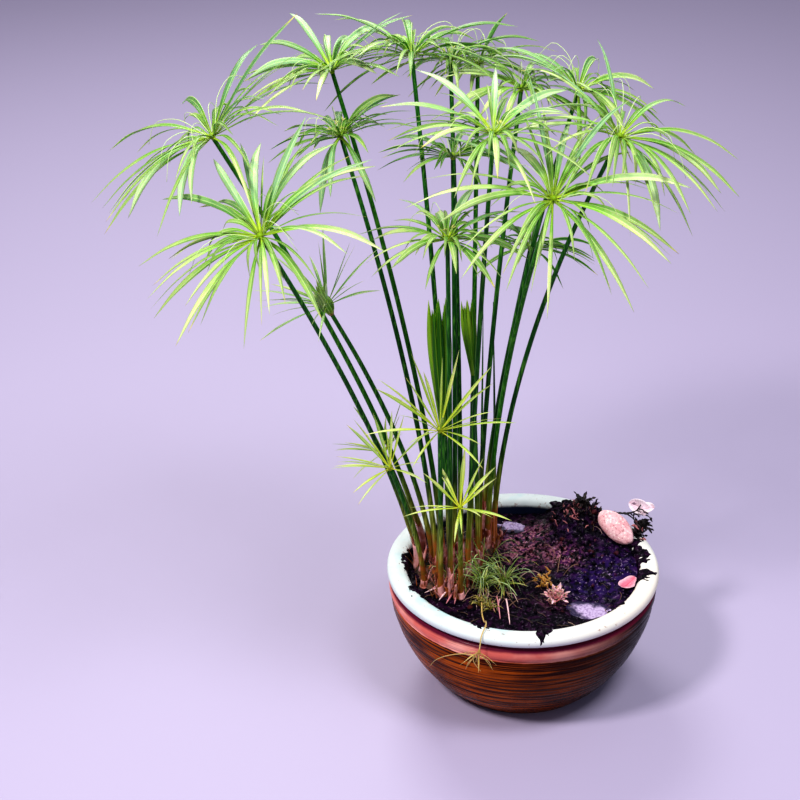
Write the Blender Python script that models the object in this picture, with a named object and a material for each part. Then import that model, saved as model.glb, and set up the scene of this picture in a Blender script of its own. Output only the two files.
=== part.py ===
"""Umbrella sedge growing in a round glazed bowl filled with mud.

The bowl stands on its foot at z = 0, with its axis on Z. The plant grows from a
root crown left of the middle, and its tallest stems lean out over the left rim.
Lengths are in metres; the planting plans below are in millimetres.
"""

import math
import random
from collections import namedtuple

import bmesh
import bpy
import numpy as np
from mathutils import Matrix, Vector

MM = 0.001
GAP = 0.0003

# The bowl
RIM_RADIUS = 0.200
POT_HEIGHT = 0.190
LIP_WIDTH = 0.030
FOOT_RADIUS = 0.118
FLOOR_THICKNESS = 0.014
POT_SEGMENTS = 38
MUD_SEGMENTS = 32

# The mud, the water standing on it, and the root crown
MUD_LEVEL = 0.168
MUD_RADIUS = RIM_RADIUS - LIP_WIDTH - 0.0008
WATER_DEPTH = 0.005
CROWN_TOP = 0.178
CROWN_BOTTOM = 0.158
CROWN_MARGIN = 0.011
CROWN_SIDES = 28

# The plant
STEM_RADIUS = 0.0034
STEM_SIDES_RESOLUTION = 1
BRACT_WIDTH = 0.0090
BRACT_THICKNESS = 0.0024
YOUNG_WIDTH = 0.0050
YOUNG_THICKNESS = 0.0016
BRACT_STATIONS = (0.36, 0.70, 1.0)
HUB_RADIUS = 0.0058
HUB_HEIGHT = 0.0090
CLEARANCE = 0.0014
MUD_CLEARANCE = 0.0025
NEIGHBOUR_MARGIN = 0.030
OWN_MIDDLE = 0.35
NEAR_THE_MUD = POT_HEIGHT + 0.040
DOWN = Vector((0.0, 0.0, -1.0))

# One stem with its umbrella of bracts. foot and head are where the stem leaves the
# root crown and where it ends, in millimetres. bow says how late it leans over.
# pairs is half the number of bracts, reach their length in millimetres, lift how far
# the upper and the lower row rise from the umbrella's plane, in degrees, and sag how
# much they bend down towards their tips.
Stem = namedtuple("Stem", "foot head bow pairs reach lift sag")

OLD = (30, 12)
YOUNG = (52, 24)

# The umbrellas in front come first, because a later bract gives way to an earlier one.
STEMS = [
    Stem((-155, 0), (-348, -150, 765), 1.3, 9, 182, OLD, 1.0),
    Stem((-54, 50), (22, -120, 815), 1.8, 8, 192, OLD, 0.95),
    Stem((-46, 66), (106, 0, 855), 1.8, 8, 182, OLD, 1.15),
    Stem((-80, -28), (-56, -80, 885), 1.5, 8, 150, OLD, 0.9),
    Stem((-148, 26), (-430, 0, 840), 1.35, 8, 198, OLD, 1.1),
    Stem((-118, -2), (-280, 100, 900), 1.5, 8, 150, OLD, 0.8),
    Stem((-104, -64), (-112, -100, 745), 1.5, 7, 115, OLD, 0.9),
    Stem((-106, -30), (-172, 100, 925), 1.5, 7, 150, OLD, 1.05),
    Stem((-92, 6), (-122, 140, 905), 1.5, 7, 130, OLD, 1.05),
    Stem((-78, 14), (-86, 190, 883), 1.5, 6, 120, OLD, 1.15),
    Stem((-62, 84), (52, 90, 885), 1.6, 7, 135, OLD, 1.15),
    Stem((-68, 60), (-24, 90, 885), 1.6, 7, 120, OLD, 1.0),
    Stem((-126, -18), (-264, 50, 825), 1.5, 6, 110, OLD, 0.9),
    Stem((-100, -8), (-113, 50, 800), 1.5, 6, 110, OLD, 0.9),
    Stem((-60, 104), (-5, 130, 632), 1.5, 6, 110, OLD, 0.9),
    Stem((-134, 8), (-276, -50, 620), 1.5, 6, 112, YOUNG, 0.5),
    Stem((-117, -72), (-119, -110, 465), 1.5, 7, 114, YOUNG, 0.4),
    Stem((-152, 13), (-203, 2, 362), 1.4, 4, 84, YOUNG, 0.4),
    Stem((-142, -50), (-187, -100, 397), 1.4, 5, 86, YOUNG, 0.4),
    Stem((-88, -74), (-89, -125, 352), 1.4, 5, 80, YOUNG, 0.4),
]

# A stem whose umbrella is still folded upright: foot, where the stem ends, and tip.
Bud = namedtuple("Bud", "foot head tip width")
BUDS = [
    Bud((-122, -46), (-117, -40, 425), (-129, -30, 632), 34),
    Bud((-66, 8), (-79, 6, 495), (-90, 8, 612), 21),
]

BUD_SIDES = 8
BUD_FLATNESS = 0.5
# How wide a folded umbrella is along its length, both as shares of the whole.
BUD_PROFILE = ((0.0, 0.20), (0.30, 0.55), (0.62, 0.95), (0.85, 1.0))

# A bare young stem that ends in a point: its foot and its tip.
SPIKES = [
    ((-64, 40), (-68, 66, 573)),
    ((-44, 92), (-55, 104, 562)),
]
SPIKE_RADIUS = 0.0022
SPIKE_TAPER = (1.2, 1.15, 1.0, 0.9, 0.75, 0.5, 0.15)
YOUNG_BOW = 1.3


def clear_scene():
    for old in list(bpy.data.objects):
        bpy.data.objects.remove(old, do_unlink=True)


def material(name, colour, roughness):
    """A Principled material with one colour and roughness."""
    made = bpy.data.materials.new(name)
    made.use_nodes = True
    shader = made.node_tree.nodes["Principled BSDF"]
    shader.inputs["Base Color"].default_value = (*colour, 1.0)
    shader.inputs["Roughness"].default_value = roughness
    shader.inputs["Metallic"].default_value = 0.0
    return made


def add_object(name, mesh, finish, sharp_angle=None):
    """Puts a mesh in the scene; a sharp angle in degrees makes it smooth up to there."""
    made = bpy.data.objects.new(name, mesh)
    bpy.context.scene.collection.objects.link(made)
    mesh.materials.append(finish)
    if sharp_angle is not None:
        mesh.shade_smooth()
        mesh.set_sharp_from_angle(angle=math.radians(sharp_angle))
    return made


def to_mesh(name, bm):
    """Turns a closed bmesh into a mesh with its faces pointing out."""
    bmesh.ops.recalc_face_normals(bm, faces=bm.faces)
    if bm.calc_volume(signed=True) < 0.0:
        bmesh.ops.reverse_faces(bm, faces=bm.faces)
    mesh = bpy.data.meshes.new(name)
    bm.to_mesh(mesh)
    bm.free()
    return mesh


def turned(profile, segments):
    """Spins a profile of (radius, height) points, which starts and ends on the axis."""
    bm = bmesh.new()
    points = [bm.verts.new((radius, 0.0, height)) for radius, height in profile]
    edges = [bm.edges.new(pair) for pair in zip(points, points[1:])]
    bmesh.ops.spin(bm, geom=points + edges, axis=(0, 0, 1), cent=(0, 0, 0),
                   angle=math.tau, steps=segments, use_merge=True)
    bmesh.ops.remove_doubles(bm, verts=bm.verts, dist=1e-6)
    return bm


def inner_wall():
    """The bowl's inside from the top of the wall down, as (radius, height)."""
    wall = RIM_RADIUS - LIP_WIDTH
    return [(wall, POT_HEIGHT - 0.040), (wall - 0.012, 0.090), (wall - 0.060, FLOOR_THICKNESS + 0.008)]


def make_pot(finish):
    """A bowl with a rolled lip, a groove under it and a raised band below the groove."""
    foot = [(0.0, 0.0), (FOOT_RADIUS, 0.0), (FOOT_RADIUS + 0.004, 0.005)]
    body = [(0.153, 0.040), (0.177, 0.082), (0.190, 0.118), (0.1945, 0.145)]
    band = [(0.1935, 0.1475), (0.1965, 0.1530), (0.1965, 0.1610), (0.1935, 0.1665)]
    lip = [(0.1890, 0.1705), (0.1965, 0.1745), (RIM_RADIUS, 0.181), (0.1970, 0.187),
           (0.189, POT_HEIGHT), (0.180, POT_HEIGHT - 0.0006), (0.1730, 0.187), (0.1705, 0.181)]
    wall = inner_wall()
    floor = [(wall[-1][0] - 0.010, FLOOR_THICKNESS), (0.0, FLOOR_THICKNESS)]
    bm = turned(foot + body + band + lip + wall + floor, POT_SEGMENTS)
    return add_object("pot", to_mesh("pot", bm), finish, sharp_angle=50)


def bump(x, y, centre, height, spread):
    """A round hump or hollow in the mud; all but the height in millimetres."""
    away = (x / MM - centre[0]) ** 2 + (y / MM - centre[1]) ** 2
    return height * math.exp(-away / (2.0 * spread ** 2))


def mud_height(x, y):
    """The mud rises to a heap at the back right and dips under the standing water."""
    height = MUD_LEVEL
    height += bump(x, y, (105, 105), 0.034, 45)
    height += bump(x, y, (78, 140), 0.021, 26)
    height += bump(x, y, (160, 15), 0.011, 38)
    height += bump(x, y, (-105, 10), 0.006, 60)
    height -= bump(x, y, PUDDLES["puddle_front"][0], 0.006, 24)
    height -= bump(x, y, PUDDLES["puddle_back"][0], 0.006, 24)
    height += 0.0012 * math.sin(135.0 * x + 1.3) * math.cos(118.0 * y)
    return height


# Each pool of standing water: its centre, half its length and width, and its level.
PUDDLES = {
    "puddle_front": ((95, -84), (25, 17), 0.1665),
    "puddle_back": ((-16, 134), (26, 12), 0.1650),
}


def prism(bm, outline, low, high, taper=1.0):
    """Adds an upright solid over an outline of (x, y) points to a bmesh."""
    middle = Vector((sum(x for x, _ in outline), sum(y for _, y in outline))) / len(outline)
    rings = []
    for height, scale in ((low, 1.0), (high, taper)):
        spots = [middle + (Vector(spot) - middle) * scale for spot in outline]
        rings.append([bm.verts.new((spot.x, spot.y, height)) for spot in spots])
    count = len(outline)
    bm.faces.new(reversed(rings[0]))
    bm.faces.new(rings[1])
    for i in range(count):
        j = (i + 1) % count
        bm.faces.new((rings[0][i], rings[0][j], rings[1][j], rings[1][i]))


def puddle_outline(centre, half, grow):
    """A wavy oval, grown outwards by a little for the seat that it lies in."""
    outline = []
    for i in range(14):
        angle = math.tau * i / 14
        wave = 1.0 + 0.10 * math.sin(3.0 * angle + 0.6)
        outline.append((centre[0] * MM + (half[0] * MM * wave + grow) * math.cos(angle),
                        centre[1] * MM + (half[1] * MM * wave + grow) * math.sin(angle)))
    return outline


def make_puddle(name, finish):
    centre, half, level = PUDDLES[name]
    bm = bmesh.new()
    prism(bm, puddle_outline(centre, half, 0.0), level - WATER_DEPTH, level)
    return add_object(name, to_mesh(name, bm), finish)


def crown_outline(grow):
    """A rounded outline round all the feet, kept inside the bowl."""
    feet = [Vector(stem.foot) * MM for stem in STEMS + BUDS]
    feet += [Vector(foot) * MM for foot, _ in SPIKES]
    middle = sum(feet, Vector((0.0, 0.0))) / len(feet)
    angles = [math.tau * i / CROWN_SIDES for i in range(CROWN_SIDES)]
    ways = [Vector((math.cos(angle), math.sin(angle))) for angle in angles]
    widths = [max((foot - middle).dot(way) for foot in feet) + CROWN_MARGIN + grow for way in ways]
    outline = []
    for outward in ways:
        reach = min(wide / outward.dot(way) for way, wide in zip(ways, widths) if outward.dot(way) > 0.1)
        spot = middle + outward * reach
        limit = MUD_RADIUS - 0.004 + grow
        if spot.length > limit:
            spot = spot * (limit / spot.length)
        outline.append(spot)
    return outline


def make_crown(finish):
    """The woody mound that all the stems stand on."""
    bm = bmesh.new()
    prism(bm, crown_outline(0.0), CROWN_BOTTOM, CROWN_TOP, taper=0.93)
    return add_object("root_crown", to_mesh("root_crown", bm), finish, sharp_angle=40)


PEBBLE_CENTRE = Vector((0.137, 0.073, 0.2095))
PEBBLE_HALF = (0.0275, 0.0205, 0.0105)
PEBBLE_TURN = Matrix.Rotation(math.radians(42), 4, "X") @ Matrix.Rotation(math.radians(-48), 4, "Z")


def pebble_mesh(grow):
    """An oval pebble that leans back on the heap, long way down to the right."""
    bm = bmesh.new()
    bmesh.ops.create_uvsphere(bm, u_segments=14, v_segments=7, radius=1.0)
    bmesh.ops.scale(bm, verts=bm.verts, vec=[half + grow for half in PEBBLE_HALF])
    bmesh.ops.transform(bm, matrix=Matrix.Translation(PEBBLE_CENTRE) @ PEBBLE_TURN, verts=bm.verts)
    return bm


LEAF_CENTRE = (0.152, -0.027)
LEAF_LENGTH = 0.030
LEAF_WIDTH = 0.016
LEAF_TURN = 36
LEAF_THICKNESS = 0.0014


def leaf_mesh(grow):
    """A small pointed leaf that has fallen on the mud, curled up at its tips."""
    bm = bmesh.new()
    turn = Matrix.Rotation(math.radians(LEAF_TURN), 4, "Z")
    level = mud_height(*LEAF_CENTRE) + 0.0005
    rings = []
    for i in range(7):
        along = -1.0 + i / 3.0
        half = 0.5 * LEAF_WIDTH * math.sqrt(max(1.0 - along * along, 0.012)) + grow
        lift = 0.0025 * along * along
        x = along * (0.5 * LEAF_LENGTH + grow)
        thick = 0.5 * LEAF_THICKNESS + grow
        ring = [(x, -half, lift), (x, 0.0, lift - thick), (x, half, lift), (x, 0.0, lift + thick)]
        rings.append([bm.verts.new(turn @ Vector(spot)) for spot in ring])
    for lower, upper in zip(rings, rings[1:]):
        for i in range(4):
            j = (i + 1) % 4
            bm.faces.new((lower[i], lower[j], upper[j], upper[i]))
    bm.faces.new(reversed(rings[0]))
    bm.faces.new(rings[-1])
    bmesh.ops.translate(bm, verts=bm.verts, vec=(*LEAF_CENTRE, level))
    return bm


class Crowd:
    """Keeps what already stands in the air, so that a new bract can keep clear of it."""

    def __init__(self):
        self.spots = np.empty((0, 3))
        self.girths = np.empty(0)
        self.owners = np.empty(0, dtype=int)

    def add(self, path, girth, owner):
        spots = sample(path, 0.005)
        self.spots = np.vstack([self.spots, spots])
        self.girths = np.append(self.girths, np.full(len(spots), girth))
        self.owners = np.append(self.owners, np.full(len(spots), owner))

    def around(self, centre, reach, owner):
        """What stands round an umbrella, apart from the middle of that umbrella itself."""
        away = np.linalg.norm(self.spots - np.array(centre), axis=1)
        own_middle = (self.owners == owner) & (away < OWN_MIDDLE * reach)
        near = (away < reach + NEIGHBOUR_MARGIN) & ~own_middle
        return self.spots[near], self.girths[near]


def ground_height(x, y):
    """The top of the root crown inside its outline, and the mud around it."""
    outline = crown_outline(CLEARANCE)
    for here, there in zip(outline, outline[1:] + outline[:1]):
        if (there.x - here.x) * (y - here.y) - (there.y - here.y) * (x - here.x) < 0.0:
            return mud_height(x, y)
    return max(CROWN_TOP, mud_height(x, y))


def free_room(path, girth, neighbours):
    """The smallest free distance from a path to its neighbours and to the ground below."""
    spots = sample(path, 0.006)
    room = 1.0
    taken, girths = neighbours
    if len(taken):
        away = np.linalg.norm(spots[:, None, :] - taken[None, :, :], axis=2)
        room = float((away - girths).min()) - girth
    if spots[:, 2].min() < NEAR_THE_MUD and np.hypot(spots[:, 0], spots[:, 1]).max() < MUD_RADIUS:
        above = min(spot[2] - ground_height(spot[0], spot[1]) for spot in spots[2:])
        room = min(room, above - MUD_CLEARANCE)
    return room


def sample(path, step):
    """Points along straight runs between the points of a path."""
    spots = []
    for start, end in zip(path, path[1:]):
        count = max(2, int((end - start).length / step))
        spots += [start.lerp(end, i / count) for i in range(count)]
    spots.append(path[-1])
    return np.array([tuple(spot) for spot in spots])


def stem_path(foot, head, bow):
    """A stem that rises upright from its foot and leans over towards its head."""
    start = Vector((foot[0] * MM, foot[1] * MM, CROWN_TOP + GAP))
    end = Vector(head) * MM
    path = []
    for t in (0.0, 0.02, 0.14, 0.32, 0.54, 0.78, 1.0):
        lean = 0.0 if t < 0.05 else t ** bow
        path.append(Vector((start.x + (end.x - start.x) * lean,
                            start.y + (end.y - start.y) * lean,
                            start.z + (end.z - start.z) * t)))
    return path


def make_tube(name, path, radii, finish, resolution=STEM_SIDES_RESOLUTION):
    """A round rod along a path, with flat ends and a radius at each point."""
    curve = bpy.data.curves.new(name, "CURVE")
    curve.dimensions = "3D"
    curve.bevel_depth = 1.0
    curve.bevel_resolution = resolution
    curve.use_fill_caps = True
    spline = curve.splines.new("POLY")
    spline.points.add(len(path) - 1)
    for point, place, radius in zip(spline.points, path, radii):
        point.co = (*place, 1.0)
        point.radius = radius
    curve.materials.append(finish)
    made = bpy.data.objects.new(name, curve)
    bpy.context.scene.collection.objects.link(made)
    return made


STEM_TAPER = (1.35, 1.32, 1.12, 1.0, 0.97, 0.90, 0.82)


def bract_path(start, direction, reach, sag):
    """Where a bract runs: out along its direction, then bending down towards its tip.

    A bract that rises steeply bends less than one that leaves the hub level.
    """
    sag = sag * math.hypot(direction.x, direction.y)
    steps = 24
    marks = [round(mark * steps) for mark in BRACT_STATIONS]
    path = [start.copy()]
    spot = start.copy()
    for i in range(steps):
        along = (i + 0.5) / steps
        spot = spot + (direction + DOWN * sag * along).normalized() * (reach / steps)
        if i + 1 in marks:
            path.append(spot.copy())
    return path


def hub_solid(bm, centre, axis, radius, height, pairs, turn, root):
    """A small drum with triangles round its side, one for each bract; gives these back.

    A drum that stands on the mud also has a root, which goes straight down into it.
    """
    side = axis.orthogonal().normalized()
    across = axis.cross(side)
    rings = []
    for level, shift in ((-0.5, 0.0), (0.5, 0.5)):
        ring = []
        for i in range(pairs):
            angle = turn + math.tau * (i + shift) / pairs
            out = side * math.cos(angle) + across * math.sin(angle)
            ring.append(bm.verts.new(centre + axis * (level * height) + out * radius))
        rings.append(ring)
    low, high = rings
    bottom = bm.faces.new(reversed(low))
    bm.faces.new(high)
    if root:
        bottom = bmesh.ops.extrude_discrete_faces(bm, faces=[bottom])["faces"][0]
        bmesh.ops.translate(bm, verts=bottom.verts, vec=DOWN * root)
    lower_row = []
    upper_row = []
    for i in range(pairs):
        j = (i + 1) % pairs
        lower_row.append(bm.faces.new((low[i], low[j], high[i])))
        upper_row.append(bm.faces.new((high[i], low[j], high[j])))
    return lower_row, upper_row


def grow_bract(bm, face, path, axis, across, width, thickness, keel_up):
    """Draws a face out along a path into a thin pointed blade with a rib on one side."""
    half_widths = (0.5 * width, 0.42 * width)
    for i, half in enumerate(half_widths):
        tangent = (path[i + 2] - path[i]).normalized()
        side = (across - tangent * across.dot(tangent)).normalized()
        rib = tangent.cross(side)
        if (rib.dot(axis) > 0.0) != keel_up:
            rib = -rib
        face = bmesh.ops.extrude_discrete_faces(bm, faces=[face])["faces"][0]
        corners = sorted(face.verts, key=lambda v: (v.co - path[i]).dot(side))
        corners[0].co = path[i + 1] - side * half
        corners[1].co = path[i + 1] + rib * thickness
        corners[2].co = path[i + 1] + side * half
    tip = bmesh.ops.poke(bm, faces=[face])["verts"][0]
    tip.co = path[-1]


# A bract that would touch another is turned, raised, lowered or shortened a little.
NUDGES = sorted(
    ((turn, lift, short) for turn in (0, -3, 3, -6, 6, -9, 9)
     for lift in (0, 5, -5, 10, -10, 15, -15, 20, -20, -28) for short in (1.0, 0.9, 0.8, 0.7, 0.6, 0.5)),
    key=lambda n: abs(n[0]) * 1.2 + abs(n[1]) + (1.0 - n[2]) * 90.0)


def make_umbrella(name, centre, axis, pairs, reach, lift, sag, finish, crowd, owner,
                  width=BRACT_WIDTH, thickness=BRACT_THICKNESS,
                  hub_radius=HUB_RADIUS, hub_height=HUB_HEIGHT, root=0.0):
    """A hub with two rows of bracts, each drawn out of one side of the hub."""
    chance = random.Random(name)
    bm = bmesh.new()
    lower_row, upper_row = hub_solid(bm, centre, axis, hub_radius, hub_height, pairs,
                                     chance.uniform(0.0, math.tau / pairs), root)
    for faces, rise, keel_up in ((upper_row, lift[0], False), (lower_row, lift[1], True)):
        for face in faces:
            root = face.calc_center_median()
            outward = root - centre
            outward = (outward - axis * outward.dot(axis)).normalized()
            base_turn = chance.uniform(-2.5, 2.5)
            base_lift = rise + chance.uniform(-5.0, 5.0)
            base_reach = reach * MM * chance.uniform(0.88, 1.0)
            neighbours = crowd.around(centre, reach * MM, owner)
            best = None
            for turn, raised, short in NUDGES:
                heading = Matrix.Rotation(math.radians(base_turn + turn), 3, axis) @ outward
                angle = math.radians(base_lift + raised)
                direction = heading * math.cos(angle) + axis * math.sin(angle)
                path = bract_path(root, direction, base_reach * short, sag)
                room = free_room(path, 0.5 * width, neighbours)
                if best is None or room > best[0]:
                    best = (room, path, heading)
                if room > CLEARANCE:
                    break
            room, path, heading = best
            crowd.add(path, 0.5 * width, owner)
            grow_bract(bm, face, path, axis, axis.cross(heading), width, thickness, keel_up)
    return add_object(name, to_mesh(name, bm), finish)


def make_bud(name, bud, start, finish):
    """An umbrella that is still folded: a flat wedge, widest near its top."""
    end = Vector(bud.tip) * MM
    axis = (end - start).normalized()
    side = (Vector((1, 0, 0)) - axis * axis.x).normalized()
    depth = axis.cross(side)
    half = 0.5 * bud.width * MM
    length = (end - start).length
    bm = bmesh.new()
    rings = []
    for along, wide in BUD_PROFILE:
        ring = []
        for i in range(BUD_SIDES):
            angle = math.tau * i / BUD_SIDES
            ring.append(bm.verts.new(start + axis * (along * length)
                                     + side * (half * wide * math.cos(angle))
                                     + depth * (half * BUD_FLATNESS * wide * math.sin(angle))))
        rings.append(ring)
    for lower, upper in zip(rings, rings[1:]):
        for i in range(BUD_SIDES):
            j = (i + 1) % BUD_SIDES
            bm.faces.new((lower[i], lower[j], upper[j], upper[i]))
    bm.faces.new(reversed(rings[0]))
    top = bm.faces.new(rings[-1])
    bmesh.ops.poke(bm, faces=[top])["verts"][0].co = end
    return add_object(name, to_mesh(name, bm), finish, sharp_angle=40)


# Small growth on the mud: where it stands, pairs of blades, their length, lift, sag,
# the width of a blade and the radius of the middle, lengths in millimetres.
Tuft = namedtuple("Tuft", "spot pairs reach lift sag width radius")
TUFTS = {
    "seedling_1": Tuft((-57, -48), 4, 32, (65, 38), 0.9, 4.0, 3.0),
    "seedling_2": Tuft((-27, -40), 4, 38, (60, 25), 1.0, 4.0, 3.0),
    "withered_sprig": Tuft((50, -66), 5, 22, (70, 28), 0.4, 5.0, 4.0),
    "litter_tuft": Tuft((88, 128), 5, 18, (42, 14), 0.5, 5.0, 5.0),
}
TUFT_ROOT = 0.006
TUFT_LIFT = 0.0050
TUFT_HUB_HEIGHT = 0.005
SEAT_SIDES = 8


def tuft_stance(tuft):
    """Where a tuft stands, just over the mud, and the way that the mud faces there."""
    x, y = tuft.spot[0] * MM, tuft.spot[1] * MM
    step = 0.008
    slope_x = (mud_height(x + step, y) - mud_height(x - step, y)) / (2.0 * step)
    slope_y = (mud_height(x, y + step) - mud_height(x, y - step)) / (2.0 * step)
    normal = Vector((-slope_x, -slope_y, 1.0)).normalized()
    return Vector((x, y, mud_height(x, y))) + normal * TUFT_LIFT, normal


def make_tuft(name, finish, crowd, owner):
    """A small plant or scrap whose blades spread from a root pressed into the mud."""
    tuft = TUFTS[name]
    centre, axis = tuft_stance(tuft)
    return make_umbrella(name, centre, axis, tuft.pairs, tuft.reach, tuft.lift, tuft.sag,
                         finish, crowd, owner, width=tuft.width * MM, thickness=0.0014,
                         hub_radius=tuft.radius * MM, hub_height=TUFT_HUB_HEIGHT, root=TUFT_ROOT)


# The twig stands in the heap and leans out over the lip; offsets from its foot in millimetres.
TWIG_FOOT = (122, 108)
TWIG_COURSE = [(0, 0, -6), (0, 0, 4), (8, -2, 11), (22, -6, 15), (36, -9, 18), (46, -11, 24), (52, -10, 33)]
TWIG_RADIUS = 0.0018
TWIG_TAPER = (1.0, 1.0, 0.95, 0.85, 0.75, 0.65, 0.45)
TWIG_SEAT_RADIUS = 0.0026
TWIG_SEAT_DEPTH = 0.007


def make_twig(finish, crowd):
    x, y = TWIG_FOOT[0] * MM, TWIG_FOOT[1] * MM
    foot = Vector((x, y, mud_height(x, y)))
    path = [foot + Vector(offset) * MM for offset in TWIG_COURSE]
    crowd.add(path, TWIG_RADIUS, -5)
    return make_tube("twig", path, [TWIG_RADIUS * t for t in TWIG_TAPER], finish)


# The runner lies on the mud and then crosses the front lip: each point's distance from the
# bowl's axis, its angle from +X in degrees, and its height, or None where it lies on the mud.
RUNNER_COURSE = [
    (0.090, 230.0, None), (0.107, 238.0, None), (0.128, 244.5, None), (0.147, 249.5, 0.1745),
    (0.166, 253.0, 0.1895), (0.182, 254.5, 0.1930), (0.196, 254.5, 0.1915),
    (0.2035, 254.5, 0.1860), (0.2060, 254.5, 0.1780), (0.2095, 254.5, 0.1710),
]
RUNNER_RADIUS = 0.0010
RUNNER_LIFT = 0.0028


def runner_path():
    """From the mud over the lip and down outside it."""
    path = []
    for radius, angle, height in RUNNER_COURSE:
        x = radius * math.cos(math.radians(angle))
        y = radius * math.sin(math.radians(angle))
        path.append(Vector((x, y, mud_height(x, y) + RUNNER_LIFT if height is None else height)))
    return path


def make_runner(finish, crowd):
    path = runner_path()
    crowd.add(path, RUNNER_RADIUS, -2)
    return make_tube("runner", path, [RUNNER_RADIUS] * len(path), finish)


def make_plantlet(finish, crowd, owner):
    """The young plant that hangs from the runner in front of the bowl's band."""
    hub_height = 0.006
    before, end = runner_path()[-2:]
    axis = (end - before).normalized()
    centre = end + axis * (GAP + 0.5 * hub_height)
    return make_umbrella("plantlet", centre, axis, 4, 34, (40, 12), 0.4, finish, crowd, owner,
                         width=0.003, thickness=0.0012, hub_radius=0.0024, hub_height=hub_height)


def crowd_the_bowl(crowd):
    """Rings of points on the bowl's lip and band, which hanging blades keep clear of."""
    for radius, height, girth in ((0.184, 0.181, 0.0165), (0.178, 0.156, 0.0195)):
        ring = []
        for i in range(73):
            angle = math.tau * i / 72
            ring.append(Vector((radius * math.cos(angle), radius * math.sin(angle), height)))
        crowd.add(ring, girth, -1)


def make_soil(finish):
    """The mud fills the bowl and holds a seat for each thing that sinks into it."""
    base = FLOOR_THICKNESS + GAP
    sides = [(radius - 2.5 * GAP, height) for radius, height in inner_wall()]
    top = [(radius, MUD_LEVEL) for radius in (0.0, 0.024, 0.048, 0.072, 0.096, 0.120, 0.145)]
    top.append((MUD_RADIUS, MUD_LEVEL))
    bottom = [(sides[-1][0] - 0.010, base), (0.0, base)]
    bm = turned(top + sides + bottom, MUD_SEGMENTS)
    for vertex in bm.verts:
        if abs(vertex.co.z - MUD_LEVEL) < 1e-6:
            vertex.co.z = mud_height(vertex.co.x, vertex.co.y)
    soil = add_object("soil", to_mesh("soil", bm), finish, sharp_angle=40)

    seats = bpy.data.objects.new("seats", to_mesh("seats", seat_solids()))
    bpy.context.scene.collection.objects.link(seats)
    seats.hide_render = True
    seats.display_type = "WIRE"
    cut = soil.modifiers.new("seats", "BOOLEAN")
    cut.operation = "DIFFERENCE"
    cut.solver = "EXACT"
    cut.object = seats
    return soil


def seat_outline(middle, reach):
    """A small round outline for the hole that something on the mud stands in."""
    return [(middle.x + reach * math.cos(math.tau * i / SEAT_SIDES),
             middle.y + reach * math.sin(math.tau * i / SEAT_SIDES)) for i in range(SEAT_SIDES)]


def seat_solids():
    """What is taken out of the mud: each sunken thing, grown by the gap."""
    above = POT_HEIGHT + 0.030
    seats = bmesh.new()
    prism(seats, crown_outline(GAP), CROWN_BOTTOM - GAP, above)
    for centre, half, level in PUDDLES.values():
        prism(seats, puddle_outline(centre, half, GAP), level - WATER_DEPTH - GAP, above)
    for tuft in TUFTS.values():
        middle, axis = tuft_stance(tuft)
        reach = tuft.radius * MM * 1.1 + GAP
        depth = 0.5 * TUFT_HUB_HEIGHT + reach + TUFT_ROOT
        middle = middle - axis * (0.5 * TUFT_HUB_HEIGHT)
        prism(seats, seat_outline(middle, reach), middle.z - depth, above)
    foot = Vector(TWIG_FOOT) * MM
    prism(seats, seat_outline(foot, TWIG_SEAT_RADIUS), mud_height(*foot) - TWIG_SEAT_DEPTH, above)
    for made in (pebble_mesh(2.0 * GAP), leaf_mesh(GAP)):
        bmesh.ops.recalc_face_normals(made, faces=made.faces)
        scratch = bpy.data.meshes.new("scratch")
        made.to_mesh(scratch)
        made.free()
        seats.from_mesh(scratch)
        bpy.data.meshes.remove(scratch)
    return seats


def make_stems(finishes, crowd):
    """All the stems first, then the umbrellas, so that every bract can avoid every stem."""
    paths = [stem_path(stem.foot, stem.head, stem.bow) for stem in STEMS]
    for i, path in enumerate(paths):
        make_tube("stem_%02d" % (i + 1), path, [STEM_RADIUS * t for t in STEM_TAPER], finishes["stem"])
        crowd.add(path, STEM_RADIUS, i)
    for i, bud in enumerate(BUDS):
        path = stem_path(bud.foot, bud.head, YOUNG_BOW)
        number = len(STEMS) + i + 1
        make_tube("stem_%02d" % number, path, [STEM_RADIUS * t for t in STEM_TAPER], finishes["stem"])
        start = path[-1] + (path[-1] - path[-2]).normalized() * GAP
        make_bud("bud_%02d" % number, bud, path[-1] + Vector((0, 0, 2.0 * GAP)), finishes["young"])
        crowd.add(path, STEM_RADIUS, -3)
        crowd.add([start, Vector(bud.tip) * MM], 0.35 * bud.width * MM, -3)
    for i, (foot, tip) in enumerate(SPIKES):
        path = stem_path(foot, tip, YOUNG_BOW)
        make_tube("spike_%d" % (i + 1), path, [SPIKE_RADIUS * t for t in SPIKE_TAPER], finishes["stem"])
        crowd.add(path, SPIKE_RADIUS, -4)
    return paths


def make_umbrellas(paths, finishes, crowd):
    """An umbrella on each stem; every hub is set first, so that no bract runs into one."""
    stances = []
    for i, path in enumerate(paths):
        axis = (path[-1] - path[-2]).normalized()
        centre = path[-1] + axis * (GAP + 0.5 * HUB_HEIGHT)
        crowd.add([centre - axis * HUB_HEIGHT * 0.5, centre + axis * HUB_HEIGHT * 0.5], HUB_RADIUS, i)
        stances.append((centre, axis))
    for i, (stem, (centre, axis)) in enumerate(zip(STEMS, stances)):
        young = stem.lift == YOUNG
        make_umbrella("umbrella_%02d" % (i + 1), centre, axis, stem.pairs, stem.reach, stem.lift,
                      stem.sag, finishes["young" if young else "bract"], crowd, i,
                      width=YOUNG_WIDTH if young else BRACT_WIDTH,
                      thickness=YOUNG_THICKNESS if young else BRACT_THICKNESS)


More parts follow.
